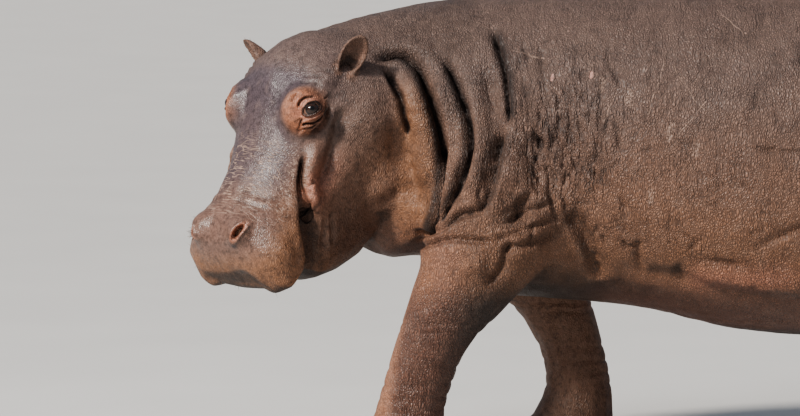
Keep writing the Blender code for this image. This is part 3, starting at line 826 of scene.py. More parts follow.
@dataclass
class Skin:
    """The one skin over all the flesh."""

    anatomy: Anatomy
    voxel: float = 0.005
    quick_voxel: float = 0.008
    triangles: int = 192_000
    quick_triangles: int = 120_000
    socket_fill: float = 0.0042
    rays: int = 6
    furrow_reach: float = 0.07
    lids: Lids = field(default_factory=Lids)
    nostril: Nostril = field(default_factory=Nostril)
    mouth: Mouth = field(default_factory=Mouth)
    rings: Rings = field(default_factory=Rings)
    piece: Object | None = None
    ear_tree: BVHTree | None = None
    lines: list[tuple[Fold, float, Array]] = field(default_factory=list)

    LIMBS = tuple(f"{part}_{end}_{side.label}" for part in ("leg", "foot")
                  for end in ("front", "hind") for side in Side)
    FLESH = ("head", "lower_jaw", "neck", "trunk", "tail", "ear_left", "ear_right", *LIMBS)
    # hollow and deep carry the painted shade of furrows and hollows; leg also carries painted shade
    # under the body
    MASKS = ("warm", "pink", "grey", "deep", "wet", "face", "ear", "hollow", "leg", "ring",
             "creased")
    MOST = 1.5  # the most that a mask says
    WART = (0.571, 0.202, -0.195)  # beside the upper lip, in the head's frame
    EAR_REACH = 0.02  # how far from the plain ears the skin is still theirs

    def build(self, nodes: dict[str, Object]) -> Object:
        """Makes the skin from copies of the flesh.

        Args:
            nodes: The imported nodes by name.

        Returns:
            The finished piece.
        """
        self.ear_tree = self.ears_of(nodes)
        self.piece = new_object("skin", self.joined(nodes))
        self.cover()
        self.refine()
        self.fold()
        self.open_face()
        self.lighten()
        self.paint()
        self.piece.data.shade_smooth()
        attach(self.piece, "root")
        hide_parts(*self.FLESH)
        return self.piece

    @staticmethod
    def ears_of(nodes: dict[str, Object]) -> BVHTree:
        """A search tree over the two plain ears."""
        ears = bmesh.new()
        for side in Side:
            ears.from_mesh(nodes[f"ear_{side.label}"].data)
        tree = BVHTree.FromBMesh(ears)
        ears.free()
        return tree

    def on_ears(self, places: Array) -> Array:
        """1 on the ears, 0 from a little way off them."""
        local = self.anatomy.head.local(places)
        found = np.zeros(len(places))
        ahead, aside, above = np.abs(local.T)
        for row in np.flatnonzero((ahead < 0.20) & (aside > 0.15) & (above < 0.20)):
            distance = self.ear_tree.find_nearest(places[row].tolist(), self.EAR_REACH)[3]
            if distance is not None:
                found[row] = 1.0 - distance / self.EAR_REACH
        return ramp(found, 0.3, 0.75)

    def joined(self, nodes: dict[str, Object]) -> Mesh:
        """All the flesh as one mesh, with the eye sockets filled."""
        whole = bmesh.new()
        for name in self.FLESH:
            part = bmesh.new()
            part.from_mesh(nodes[name].data)
            bmesh.ops.remove_doubles(part, verts=part.verts, dist=SAME_PLACE)
            mesh = mesh_from(name, part)
            whole.from_mesh(mesh)
            bpy.data.meshes.remove(mesh)
        for eye in self.anatomy.eyes.values():
            place = Matrix.Translation(Vector(eye.centre))
            bmesh.ops.create_icosphere(
                whole, subdivisions=4, radius=eye.radius + self.socket_fill, matrix=place
            )
        return mesh_from("skin", whole)

    def cover(self) -> None:
        """Wraps the flesh in one surface of even squares and takes the facets off."""
        wrap = self.piece.modifiers.new("wrap", "REMESH")
        wrap.mode = "VOXEL"
        wrap.voxel_size = self.voxel
        apply_modifiers(self.piece)
        places = places_of(self.piece.data)
        LOG.info("wrapped: %d vertices", len(places))
        head = self.anatomy.head.local(places)
        face = ramp(head[:, 0], -0.20, -0.02) * fall(np.abs(head[:, 1]), 0.30, 0.42)
        ears = self.on_ears(places)
        feet = fall(places[:, 2], 0.10, 0.22)
        trunk = (ramp(places[:, 1], -0.88, -0.55) * ramp(places[:, 2], 0.42, 0.62)
                 * fall(places[:, 1], 1.38, 1.48))
        scale = 1.0
        soften(self.piece, (1 - 0.8 * ears) * (1 - 0.6 * feet), round(14 * scale))
        soften(self.piece, (1 - face) * (1 - feet) * (1 - ears) * 0.8, round(50 * scale))
        soften(self.piece, trunk, round(260 * scale))

    def around(self, places: Array, eye_reach: float, nostril_reach: float) -> Array:
        """Which places lie near the middle of an eye or of a nostril."""
        spots = [(eye.centre, eye_reach) for eye in self.anatomy.eyes.values()]
        spots += [(self.nostril.frame(self.anatomy, side).origin, nostril_reach) for side in Side]
        return np.any([lengths_of(places - middle) < reach for middle, reach in spots], axis=0)

    def refine(self) -> None:
        """Splits the squares finer round the eyes, the nostrils and the lips."""
        places = places_of(self.piece.data)
        local = self.anatomy.head.local(places)
        ahead, across, above = local.T
        aside = np.abs(across)
        below, there = self.mouth.below(local)
        edge = (np.abs(below) < 0.022) & (there > 0.2) & (ahead < 0.70)
        hollow = (self.mouth.recess(local) > 0.05) & (ahead < 0.62)
        corner = (np.abs(ahead - 0.29) < 0.13) & (np.abs(above + 0.11) < 0.07) & (aside < 0.26)
        lips = (edge | hollow) & (aside < 0.3) & (above > -0.3)
        self.split(self.around(places, 0.092, 0.060) | lips | corner & (above < 0.0))
        closer = 0.62
        places = places_of(self.piece.data)
        self.split(self.around(places, 0.092 * closer, 0.060 * closer))
        LOG.info("refined: %d vertices", len(self.piece.data.vertices))

    def split(self, chosen: Array) -> None:
        """Splits the squares between the chosen vertices in four, and evens the skin out."""
        shape = bmesh.new()
        shape.from_mesh(self.piece.data)
        edges = [edge for edge in shape.edges
                 if chosen[edge.verts[0].index] and chosen[edge.verts[1].index]]
        bmesh.ops.subdivide_edges(shape, edges=edges, cuts=1, use_grid_fill=True)
        swap(self.piece, mesh_from("skin", shape))
        soften(self.piece, np.ones(len(self.piece.data.vertices)), 1)

    def lines_of(self, folds: tuple[Fold, ...]) -> list[tuple[Fold, float, Array]]:
        """The folds' lines on the skin as it is, with the strength of each."""
        tree = tree_of(self.piece)
        found = []
        for fold in folds:
            for side in Side:
                strength = 1.0 if side is Side.LEFT else fold.share
                line = fold.line(self.anatomy, side, tree) if strength else None
                if line is not None:
                    found.append((fold, strength, line if side is Side.LEFT else line[::-1]))
        return found

    def furrow(self, folds: tuple[Fold, ...]) -> None:
        """Presses a group of folds into the skin."""
        mesh = self.piece.data
        places, normals = shape_of(mesh)
        moved = np.zeros_like(places)
        for fold, strength, line in self.lines_of(folds):
            self.lines.append((fold, strength, line))
            near = Beside.of(line, places, normals, fold.width * 5)
            gentle, steep = fold.width * (1 + fold.skew), fold.width * (1 - 0.55 * fold.skew)
            bank = np.where(near.across > 0, gentle, steep)
            ends = fold.ends(near.along)
            waver = 1 + 0.25 * ripple(places[near.rows], (38, 38, 38), 2.0)
            depth = -fold.depth * bell(near.across, bank) * waver
            swell = fold.lip * bell(np.abs(near.across) - 2.1 * bank, 1.1 * bank)
            moved[near.rows] += ((depth + swell) * ends * strength)[:, None] * normals[near.rows]
            steeper = np.sign(fold.skew)
            hanging = steeper * fold.lean * bell(near.across + bank * steeper, bank)
            moved[near.rows] += (hanging * ends * strength)[:, None] * near.left
        put_places(mesh, places + moved)

    def fold(self) -> None:
        """Presses the folds of the body and the head, and the fine relief of the hide."""
        self.furrow(FLANK_FOLDS)
        self.furrow(creases())
        self.furrow(HEAD_FOLDS)
        mesh = self.piece.data
        places, normals = shape_of(mesh)
        local = self.anatomy.head.local(places)
        face = ramp(local[:, 0], -0.12, 0.02) * fall(np.abs(local[:, 1]), 0.27, 0.34)
        upright = ripple(places, (9, 26, 6)) * 0.0016 + ripple(places, (14, 44, 12), 7.0) * 0.0009
        lumps = ripple(places, (24, 24, 24), 3.0) * 0.0010
        trunk = ramp(places[:, 2], 0.45, 0.60)
        moved = (1 - face) * trunk * upright + lumps * (0.35 + 0.65 * (1 - face))
        moved += self.rings.shape(places)
        rise = self.mouth.shape(local)
        near = (local[:, 0] > 0.25) & (np.abs(local[:, 1]) < 0.30) & (local[:, 2] > -0.40)
        moved += np.where(near, rise, 0)
        for side in Side:
            ahead, across, above = self.WART
            wart = lengths_of(local - np.array((ahead, side.value * across, above)))
            moved += 0.005 * side_share(side) * bell(wart, 0.007)
        put_places(mesh, places + moved[:, None] * normals)

    def open_face(self) -> None:
        """Shapes the lids and their folds, and opens the nostrils."""
        mesh = self.piece.data
        places = places_of(mesh)
        for eye in self.anatomy.eyes.values():
            places = self.lids.shape(eye, places)
        for side in Side:
            out = self.nostril.frame(self.anatomy, side).rows[2]
            places = places + self.nostril.shape(self.anatomy, side, places)[:, None] * out
        put_places(mesh, places)
        self.furrow(LID_FOLDS)
        places = places_of(mesh)
        for eye in self.anatomy.eyes.values():
            places = self.uncover(eye, places)
        put_places(mesh, places)

    def uncover(self, eye: Eye, places: Array) -> Array:
        """Keeps the skin inside the opening behind the eyeball's front, and the lids before it."""
        near = np.flatnonzero(lengths_of(places - eye.centre) < 0.05)
        beyond, distance, direction = self.lids.beyond(eye, places[near])
        ahead = direction[:, 2] > 0
        hidden = (beyond < -0.001) & ahead
        distance = np.where(hidden, np.minimum(distance, eye.radius - self.lids.sunk), distance)
        proud = (beyond >= 0.0) & (beyond < 0.02) & ahead
        least = eye.radius + self.lids.least
        distance = np.where(proud, np.maximum(distance, least), distance)
        places = places.copy()
        places[near] = eye.lids.model(direction * distance[:, None])
        return places

    def lighten(self) -> None:
        """Takes triangles out where the skin is plain, and none round the eyes and nostrils."""
        mesh = self.piece.data
        places = places_of(mesh)
        local = self.anatomy.head.local(places)
        kept = 0.75 * ramp(local[:, 0], -0.15, 0.05) * fall(np.abs(local[:, 1]), 0.28, 0.40)
        weights = np.where(self.around(places, 0.052, 0.036), 0, 1 - kept)
        weigh(self.piece, "plain", weights)
        count = sum(len(face.vertices) - 2 for face in mesh.polygons)
        thin = self.piece.modifiers.new("lighten", "DECIMATE")
        thin.ratio = min(1.0, self.triangles / count)
        thin.vertex_group = "plain"
        thin.vertex_group_factor = 0.0004
        thin.use_collapse_triangulate = True
        apply_modifiers(self.piece)
        self.piece.vertex_groups.clear()
        LOG.info("skin: %d triangles", len(self.piece.data.polygons))

    def paint(self) -> None:
        """Named masks on its vertices: warm, pink, grey, wet, and dark ones that are mostly painted
        shade.
        """
        mesh = self.piece.data
        places, normals = shape_of(mesh)
        local = self.anatomy.head.local(places)
        marks = Marks({name: np.zeros(len(places)) for name in self.MASKS})
        # painted shade in the furrows and hollows, from how closed in each vertex lies
        marks["hollow"] += self.shade_in_hollows(places, normals)
        # painted shade along each fold's floor, with some grime
        for fold, strength, line in self.lines:
            if fold.dirt:
                near = Beside.of(line, places, normals, fold.width * 4)
                ends = fold.ends(near.along)
                dark = fold.dirt * strength * ends * bell(near.across, fold.width * 1.15)
                marks["deep"][near.rows] = np.maximum(marks["deep"][near.rows], dark)
        self.mark_face(marks, local, places)
        self.mark_body(marks, local, places, normals)
        for name, values in marks.items():
            put_mask(mesh, name, np.clip(values, 0, self.MOST))
        layer = mesh.attributes.new("head", "FLOAT_VECTOR", "POINT")
        layer.data.foreach_set("vector", local.astype(np.float32).ravel())

    def shade_in_hollows(self, places: Array, normals: Array) -> Array:
        """How much of a cone above each vertex the skin closes: much in a furrow. It sets the
        painted shade of the hollows.
        """
        tree = tree_of(self.piece)
        helper = np.where(np.abs(normals[:, 2:]) < 0.9, (0.0, 0.0, 1.0), (1.0, 0.0, 0.0))
        first = np.cross(normals, helper)
        first /= np.linalg.norm(first, axis=1, keepdims=True)
        second = np.cross(normals, first)
        closed = np.zeros(len(places))
        off_skin, upright, aside = 0.0015, 0.62, 0.78
        starts = [Vector(place) for place in (places + off_skin * normals).tolist()]
        for step in range(self.rays):
            turn = math.tau * step / self.rays
            spoke = math.cos(turn) * first + math.sin(turn) * second
            tilted = upright * normals + aside * spoke
            for row, direction in enumerate(tilted.tolist()):
                distance = tree.ray_cast(starts[row], Vector(direction), self.furrow_reach)[3]
                if distance is not None:
                    closed[row] += 1 - distance / self.furrow_reach
        return closed / self.rays

    def mark_face(self, marks: Marks, local: Array, places: Array) -> None:
        """The masks of the head."""
        ahead, across, above = local.T
        aside = np.abs(across)
        inside = fall(aside, 0.27, 0.36) * ramp(ahead, -0.14, 0.0)
        marks["face"] += inside
        bridge = ramp(ahead, 0.03, 0.12) * fall(ahead, 0.38, 0.50) * fall(aside, 0.10, 0.19)
        marks["grey"] += bridge * ramp(above, -0.14, -0.02)
        top = 0.42 * ramp(ahead, 0.42, 0.50) * ramp(above, -0.13, -0.06)
        marks["grey"] += top * fall(aside, 0.2, 0.3)
        marks["grey"] += 0.35 * inside * fall(ahead, 0.10, 0.25) * ramp(above, -0.10, 0.02)
        lower = ramp(ahead, 0.40, 0.50) * fall(above, -0.13, -0.05) * fall(aside, 0.28, 0.32)
        marks["warm"] += 0.9 * lower
        sheen = ramp(ahead, 0.02, 0.14) * fall(aside, 0.17, 0.23)
        marks["wet"] += sheen * ramp(above, -0.20, -0.06)
        for side in Side:
            eye = self.anatomy.eyes[side]
            flat = eye.lids.local(places)
            spread = np.hypot(flat[:, 0] + 0.016, flat[:, 1] + 0.002)
            front = (np.abs(flat[:, 2]) < 0.10).astype(float)
            tint = 0.55 + 0.45 * ramp(-flat[:, 0], -0.015, 0.035)
            marks.lift("ring", tint * front * fall(spread, 0.056, 0.078))
            marks["grey"] *= 1 - front * fall(spread, 0.06, 0.08)
            marks["wet"] *= 1 - 0.8 * front * fall(spread, 0.05, 0.08)
            beyond, distance, direction = self.lids.beyond(eye, places)
            close = (distance < 0.06) & (direction[:, 2] > 0)
            marks.lift("pink", np.where(close, 0.8 * bell(beyond - 0.008, 0.006), 0))
            # a dark line along the lids' edge, widened into the corners of the eye as painted shade
            turned = self.lids.turned(flat[:, 0], flat[:, 1])[0]
            margin = beyond - 0.004 * ramp(np.abs(turned), 0.014, 0.026)
            marks.lift("deep", np.where(close, 1.1 * fall(margin, 0.0, 0.0026), 0))
            share = self.nostril.reach(self.anatomy, side, places)
            marks.lift("pink", 0.9 * fall(share, 1.1, 1.6))
            # painted shade inside the nostril's slit
            marks.lift("deep", 0.8 * fall(share, 0.35, 0.85))
            marks["grey"] *= ramp(share, 1.1, 1.6)
        # painted shade along the lip's edge, and the painted shadow of the upper lip in the hollow
        # below it
        below, there = self.mouth.below(local)
        lips = there * inside * (ahead < 0.72) * (above > -0.32)
        marks.lift("deep", 1.1 * lips * bell(below - 0.003, 0.008))
        recess = self.mouth.recess(local) * inside
        marks.lift("deep", 0.85 * recess)
        corner = inside * bell(ahead - 0.335, 0.085) * bell(above + 0.125, 0.048) * (below > 0.0)
        marks.lift("pink", corner * (1 - recess))
        # painted shade under the lower jaw
        jaw = inside * ramp(-above, 0.19, 0.28) * ramp(ahead, 0.20, 0.32) * fall(ahead, 0.50, 0.56)
        marks.lift("deep", 0.42 * jaw * ramp(below, 0.0, 0.02))
        outer = self.on_ears(places)
        marks["ear"] += outer
        marks.lift("warm", 0.55 * outer)
        # painted shade inside the cup of the ear
        marks.lift("deep", outer * ramp(marks["hollow"], 0.08, 0.28))

    def mark_body(self, marks: Marks, local: Array, places: Array, normals: Array) -> None:
        """The masks of the neck, the trunk and the legs."""
        across, along, height = places.T
        face = marks["face"]
        low = fall(height, 0.56, 0.92) * ramp(along, -0.95, -0.6)
        marks.lift("warm", 0.75 * low * (1 - face))
        roll = ramp(along, -1.02, -0.94) * fall(along, -0.885, -0.84) * fall(height, 1.10, 1.24)
        marks.lift("warm", 0.9 * roll * fall(height, 1.0, 1.3))
        cheek = face * bell(local[:, 0] - 0.12, 0.14) * bell(local[:, 2] + 0.27, 0.12)
        marks.lift("warm", 0.60 * cheek)
        throat = fall(height, 0.66, 0.80) * ramp(along, -1.10, -1.0) * fall(along, -0.86, -0.72)
        marks.lift("pink", 0.25 * throat)
        belly = fall(height, 0.50, 0.64) * ramp(along, -0.45, -0.30) * fall(along, 0.85, 0.95)
        marks.lift("pink", 0.30 * belly * ramp(height, 0.40, 0.44))
        bulge = bell(height - 0.590, 0.045) * ramp(along, -0.15, -0.10) * fall(along, 0.10, 0.30)
        marks.lift("pink", 0.55 * bulge * (across > 0))
        marks["creased"] += bell(along + 0.52, 0.17) * bell(height - 0.96, 0.24) * (1 - face)
        # darker, wetter hide down the legs, partly painted shade
        marks["leg"] += fall(height, 0.42, 0.68) * (1 - face)
        marks.lift("wet", 0.5 * marks["leg"])
        nape = ramp(along, -1.15, -1.02) * fall(along, -0.80, -0.62) * ramp(height, 1.14, 1.26)
        marks.lift("leg", 0.35 * nape * (1 - face))
        # painted shade on skin that faces down, low on the body
        under = ramp(-normals[:, 2], 0.45, 0.90)
        marks.lift("leg", 0.8 * under * fall(height, 0.70, 0.95))


# ---------------------------------------------------------------- materials


class Nodes:
    """Adds linked shader nodes to one material."""

    def __init__(self, name: str) -> None:
        """Starts a material with its own Principled shader."""
        self.material = bpy.data.materials.new(name)
        self.material.use_nodes = True
        self.tree = self.material.node_tree
        self.shader = self.tree.nodes["Principled BSDF"]
        self.place = self.node("TexCoord").outputs["Object"]

    def node(self, kind: str, feeds: dict | None = None, **settings: object) -> bpy.types.Node:
        """A node with its settings and what feeds its sockets."""
        made = self.tree.nodes.new(f"ShaderNode{kind}")
        for name, value in settings.items():
            setattr(made, name, value)
        for socket, value in (feeds or {}).items():
            self.feed(made.inputs[socket], value)
        return made

    def feed(self, socket: Socket, value: object) -> None:
        """Links a socket, or sets its value."""
        if isinstance(value, Socket):
            self.tree.links.new(value, socket)
        else:
            socket.default_value = value

    def surface(self, feeds: dict[str, object]) -> Material:
        """The finished material, with what feeds its shader."""
        for socket, value in feeds.items():
            self.feed(self.shader.inputs[socket], value)
        return self.material

    def math(self, operation: str, *values: object, clamp: bool = False) -> Socket:
        """One step of arithmetic."""
        feeds = dict(enumerate(values))
        return self.node("Math", feeds, operation=operation, use_clamp=clamp).outputs[0]

    def add(self, first: object, second: object) -> Socket:
        """Two values added."""
        return self.math("ADD", first, second)

    def times(self, first: object, second: object, clamp: bool = False) -> Socket:
        """Two values multiplied."""
        return self.math("MULTIPLY", first, second, clamp=clamp)

    def rest(self, share: object) -> Socket:
        """What a share leaves of 1."""
        return self.math("SUBTRACT", 1.0, share, clamp=True)

    def vector(self, operation: str, first: object, second: object,
               output: int | str = 0) -> Socket:
        """One step of arithmetic on vectors, where SCALE takes a number as its second value."""
        feeds = {0: first, "Scale" if operation == "SCALE" else 1: second}
        return self.node("VectorMath", feeds, operation=operation).outputs[output]

    def parted(self, vector: Socket) -> list[Socket]:
        """The three numbers of a vector."""
        return list(self.node("SeparateXYZ", {0: vector}).outputs)

    def mix(self, share: object, first: object, second: object) -> Socket:
        """Two colours mixed by a share."""
        feeds = {0: share, 6: first, 7: second}
        return self.node("Mix", feeds, data_type="RGBA", clamp_factor=True).outputs[2]

    def between(self, value: object, start: float, end: float, low: float = 0.0,
                high: float = 1.0) -> Socket:
        """A value ramped smoothly from low to high."""
        feeds = {0: value, 1: start, 2: end, 3: low, 4: high}
        return self.node("MapRange", feeds, interpolation_type="SMOOTHSTEP").outputs[0]

    def mask(self, name: str) -> Socket:
        """One of the masks on the vertices."""
        return self.node("Attribute", attribute_name=name).outputs["Fac"]

    def stretched(self, place: Socket, scale: Point, turn: float = 0.0) -> Socket:
        """Places turned about the sideways axis and stretched."""
        feeds = {"Vector": place, "Scale": scale, "Rotation": (turn, 0.0, 0.0)}
        return self.node("Mapping", feeds).outputs[0]

    def noise(self, place: Socket, scale: float, detail: float, output: str = "Fac",
              roughness: float = 0.5) -> Socket:
        """Noise at the places, as a value from 0 to 1 or as a colour."""
        feeds = {"Vector": place, "Scale": scale, "Detail": detail, "Roughness": roughness}
        return self.node("TexNoise", feeds).outputs[output]

    def clouds(self, scale: float, detail: float = 3.0, stretch: Point = (1.0, 1.0, 1.0)) -> Socket:
        """Soft noise from 0 to 1 over the object."""
        return self.noise(self.stretched(self.place, stretch), scale, detail, roughness=0.55)

    def warped(self, base: Socket, place: Socket, scale: float, detail: float,
               amount: float) -> Socket:
        """The base's places, moved a little by noise that is read at other places."""
        drawn = self.vector("SCALE", self.noise(place, scale, detail, "Color"), amount)
        return self.vector("ADD", base, drawn)

    def cells(self, scale: float, place: Socket) -> Socket:
        """Distance from the edges of scattered cells."""
        feeds = {"Vector": place, "Scale": scale}
        return self.node("TexVoronoi", feeds, feature="DISTANCE_TO_EDGE").outputs["Distance"]

    def bumps(self, *layers: tuple[object, float, object]) -> Socket:
        """Bumps laid over each other: the height, the depth in metres and the strength of each."""
        relief = None
        for height, depth, strength in layers:
            feeds = {"Height": height, "Distance": depth, "Strength": strength}
            if relief is not None:
                feeds["Normal"] = relief
            relief = self.node("Bump", feeds).outputs[0]
        return relief


@dataclass(frozen=True)
class Hide:
    """Bare damp hide: purplish grey above, warm brown below, pink in the folds of the face."""

    back: Colour = srgb(113, 92, 83)
    flank: Colour = srgb(130, 97, 79)
    warm: Colour = srgb(139, 99, 73)
    pink: Colour = srgb(172, 117, 96)
    grey: Colour = srgb(83, 71, 75)
    # the darker hide of the legs, and the painted shade under the body
    leg: Colour = srgb(60, 44, 35)
    ring: Colour = srgb(158, 101, 72)
    # dark patches and cracks of the hide, and the painted shade of its furrows and hollows
    deep: Colour = srgb(22, 13, 11)
    pale: Colour = srgb(156, 132, 118)
    wound: Colour = srgb(176, 134, 122)

    # Old cuts and claw marks on the left side: ends in the plane of the body, and breadth.
    SCRATCHES = (
        ((-0.198, 1.222), (-0.246, 1.074), 0.0013), ((-0.170, 1.205), (-0.086, 1.081), 0.0012),
        ((-0.086, 1.116), (-0.161, 1.007), 0.0012), ((-0.041, 1.367), (0.035, 1.307), 0.0014),
        ((-0.332, 1.124), (-0.373, 1.044), 0.0011), ((-0.642, 1.249), (-0.544, 1.236), 0.0018),
    )
    SCARS = ((-0.184, 1.021), (-0.110, 0.979), (-0.240, 0.838), (-0.383, 1.152), (-0.298, 1.119))
    WOUNDS = ((-0.524, 1.176), (-0.415, 1.180))

    # The cracks between the pebbles of the hide, the long upright wrinkles of the neck and the
    # flanks, and the coarse ones behind the shoulder: scale, stretch and turn of the cells.
    CRACKS = {
        "pebbles": (175.0, (1.0, 1.05, 0.50), 0.0),
        "wrinkles": (44.0, (1.0, 2.0, 0.40), 0.10),
        "gathers": (19.0, (1.0, 1.9, 0.42), 0.16),
    }

    def material(self) -> Material:
        """Builds the hide's material."""
        n = Nodes("hide")
        lines = {
            name: n.cells(scale, self.bent(n, stretch, turn))
            for name, (scale, stretch, turn) in self.CRACKS.items()
        }
        lines["crossed"] = self.crossed(n)
        lines["marks"] = self.scratches(n)
        wet = n.mask("wet")
        dry = n.add(n.clouds(9.0, 5.0), n.times(wet, -0.16))
        dull = n.between(dry, 0.28, 0.68, 0.46, 0.70)
        return n.surface({
            "Base Color": self.colour(n, lines),
            "Roughness": n.math("SUBTRACT", dull, n.times(wet, 0.10)),
            "Specular IOR Level": 0.45,
            "Normal": self.relief(n, lines),
        })

    def colour(self, n: Nodes, lines: dict[str, Socket]) -> Socket:
        """The mixed colours of the hide, laid over each other."""
        patchy, mottled, fine = n.clouds(3.2, 5.0), n.clouds(30.0, 5.0), n.clouds(130.0, 3.0)
        uneven = n.math("SUBTRACT", patchy, 0.5)
        height = n.add(n.parted(n.place)[2], n.times(uneven, 0.5))
        leg = n.add(n.mask("leg"), n.times(uneven, 0.8))
        warm = n.times(n.mask("warm"), n.between(patchy, 0.3, 0.6, 0.75, 1.15), clamp=True)
        face, pink = n.mask("face"), n.mask("pink")
        body = n.rest(face)
        kept = n.between(n.clouds(8.0, 3.0), 0.40, 0.62)
        stained = n.between(n.clouds(75.0, 4.0), 0.54, 0.32, 0.0, 0.42)
        cracks = n.between(lines["pebbles"], 0.25, 0.02, 0.0, 0.55)
        wrinkles = n.between(lines["wrinkles"], 0.07, 0.0, 0.0, 0.40)
        gathers = n.times(n.between(lines["gathers"], 0.075, 0.0, 0.0, 0.75), n.mask("creased"))
        # painted shade in the furrows and hollows, weaker on the pink folds
        hollow = n.between(n.mask("hollow"), 0.10, 0.55, 0.0, 0.85)
        furrow = n.times(hollow, n.between(pink, 0.2, 0.8, 1.0, 0.25))
        worn = n.between(fine, 0.4, 0.6, 0.0, 0.5)
        layers = [
            (n.between(height, 0.74, 1.20), self.back),
            (warm, self.warm),
            # the darker legs, and painted shade under the body
            (n.between(leg, 0.15, 0.80), self.leg),
            (n.times(n.mask("grey"), 0.85, clamp=True), self.grey),
            (n.mask("ring"), self.ring),
            (pink, self.pink),
            (n.between(mottled, 0.48, 0.74, 0.0, 0.16), self.pale),
            (n.between(mottled, 0.50, 0.26, 0.0, 0.28), self.deep),
            (n.between(fine, 0.48, 0.25, 0.0, 0.34), self.deep),
            (n.times(stained, face), self.deep),
            (n.times(cracks, n.between(body, 0, 1, 0.5, 1)), self.deep),
            (n.times(wrinkles, n.times(body, kept)), self.deep),
            (n.times(gathers, kept), self.deep),
            (n.times(lines["crossed"], 0.70), self.pale),
            # painted shade of the furrows and hollows, and of the lips, eyes, nostrils, jaw and
            # ears
            (n.math("MAXIMUM", furrow, n.times(n.mask("deep"), 0.8), clamp=True), self.deep),
            (n.times(lines["marks"], 0.55), self.pale),
            *((n.times(self.spot(n, place, 0.008), worn), self.pale) for place in self.SCARS),
            *((n.times(self.spot(n, place, 0.0035), 0.8), self.wound) for place in self.WOUNDS),
        ]
        base = self.flank
        for share, colour in layers:
            base = n.mix(share, base, colour)
        return base

    def bent(self, n: Nodes, stretch: Point, turn: float = 0.0) -> Socket:
        """Object places, stretched and gently warped."""
        return n.warped(n.stretched(n.place, stretch, turn), n.place, 14.0, 3.0, 0.035)

    def crossed(self, n: Nodes) -> Socket:
        """1 on the fine pale wrinkles across the top of the muzzle."""
        head = n.node("Attribute", attribute_name="head").outputs["Vector"]
        long = n.stretched(n.warped(head, head, 11.0, 2.0, 0.020), (1.0, 0.10, 0.5))
        apart = n.math("ABSOLUTE", n.math("SUBTRACT", n.noise(long, 110.0, 1.0), 0.5))
        ahead, _, above = n.parted(head)
        top = n.times(n.between(above, -0.16, -0.06), n.between(ahead, 0.24, 0.34))
        there = n.times(n.times(top, n.between(ahead, 0.56, 0.48)),
                        n.between(n.clouds(16.0, 2.0), 0.30, 0.50))
        return n.times(n.between(apart, 0.045, 0.012), there, clamp=True)

    def scratches(self, n: Nodes) -> Socket:
        """1 on the old cuts of the left side."""
        found = 0.0
        for start, end, breadth in self.SCRATCHES:
            found = n.math("MAXIMUM", found, self.stroke(n, start, end, breadth))
        return n.times(found, n.between(n.clouds(55.0, 2.0), 0.38, 0.56))

    def stroke(self, n: Nodes, start: Point, end: Point, breadth: float) -> Socket:
        """1 within a slightly crooked cut, drawn in the plane of the body."""
        centred = n.vector("SUBTRACT", n.noise(n.place, 9.0, 3.0, "Color"), (0.5, 0.5, 0.5))
        moved = n.vector("ADD", n.place, n.vector("SCALE", centred, 0.045))
        first, run = Vector((0, *start)), Vector((0, *end)) - Vector((0, *start))
        away = n.vector("SUBTRACT", n.vector("MULTIPLY", moved, (0.0, 1.0, 1.0)), first)
        reach = n.vector("DOT_PRODUCT", away, run / run.length_squared, "Value")
        along = n.vector("SCALE", run, n.math("ADD", reach, 0.0, clamp=True))
        distance = n.vector("DISTANCE", away, along, "Value")
        side = n.between(n.parted(n.place)[0], 0.0, 0.1)
        return n.times(n.between(distance, breadth * 1.8, breadth * 0.6), side)

    def spot(self, n: Nodes, place: Point, size: float) -> Socket:
        """1 within a small patch on the left side."""
        low = (place[0], place[1] - 2 * size)
        return self.stroke(n, low, (place[0] + size * 0.6, place[1] + 2 * size), size)

    def relief(self, n: Nodes, lines: dict[str, Socket]) -> Socket:
        """The bumps of the hide, from wrinkles down to pores."""
        bare = n.rest(n.mask("face"))
        smooth = n.add(n.times(n.mask("face"), 0.25), n.times(n.mask("wet"), 0.50))
        smooth = n.add(smooth, n.times(n.mask("ring"), 0.35))
        kept = n.between(n.clouds(8.0, 3.0), 0.36, 0.62, 0.25, 1.0)
        gathered = n.times(n.mask("creased"), 0.85, clamp=True)
        return n.bumps(
            (n.noise(self.bent(n, (0.5, 1.6, 0.30)), 42.0, 3.0), 0.010, n.times(bare, 0.42)),
            (n.between(lines["wrinkles"], 0.0, 0.20), 0.0018, n.times(n.times(bare, kept), 0.65)),
            (n.between(lines["gathers"], 0.0, 0.16), 0.0055, gathered),
            (n.between(lines["pebbles"], 0.0, 0.35), 0.0020, n.rest(smooth)),
            (n.clouds(260.0, 3.0), 0.0012, 0.45),
            (lines["crossed"], 0.0020, 0.5),
            (n.math("SUBTRACT", 1.0, lines["marks"]), 0.0020, 0.7),
        )


@dataclass(frozen=True)
class EyeFinish:
    """A dark brown iris round a dark pupil, under a wet surface."""

    pupil: Colour = srgb(8, 6, 6)
    iris: Colour = srgb(58, 34, 20)
    rim: Colour = srgb(18, 11, 9)
    white: Colour = srgb(112, 84, 70)

    def material(self) -> Material:
        """Builds the eye's material from its mask of degrees from the gaze."""
        n = Nodes("eye")
        degrees = n.mask("degrees")
        streaks = n.clouds(420.0, 3.0)
        iris = n.mix(n.between(streaks, 0.3, 0.7), self.iris, self.rim)
        colour = n.mix(n.between(degrees, 13.0, 17.0), self.pupil, iris)
        colour = n.mix(n.between(degrees, 34.0, 40.0), colour, self.rim)
        colour = n.mix(n.between(degrees, 44.0, 58.0), colour, self.white)
        return n.surface({
            "Base Color": colour,
            "Roughness": n.between(streaks, 0.2, 0.8, 0.16, 0.24),
            "Specular IOR Level": 0.3,
            "Coat Weight": 0.7,
            "Coat Roughness": 0.03,
            "Normal": n.bumps((streaks, 0.0004, 0.3)),
        })


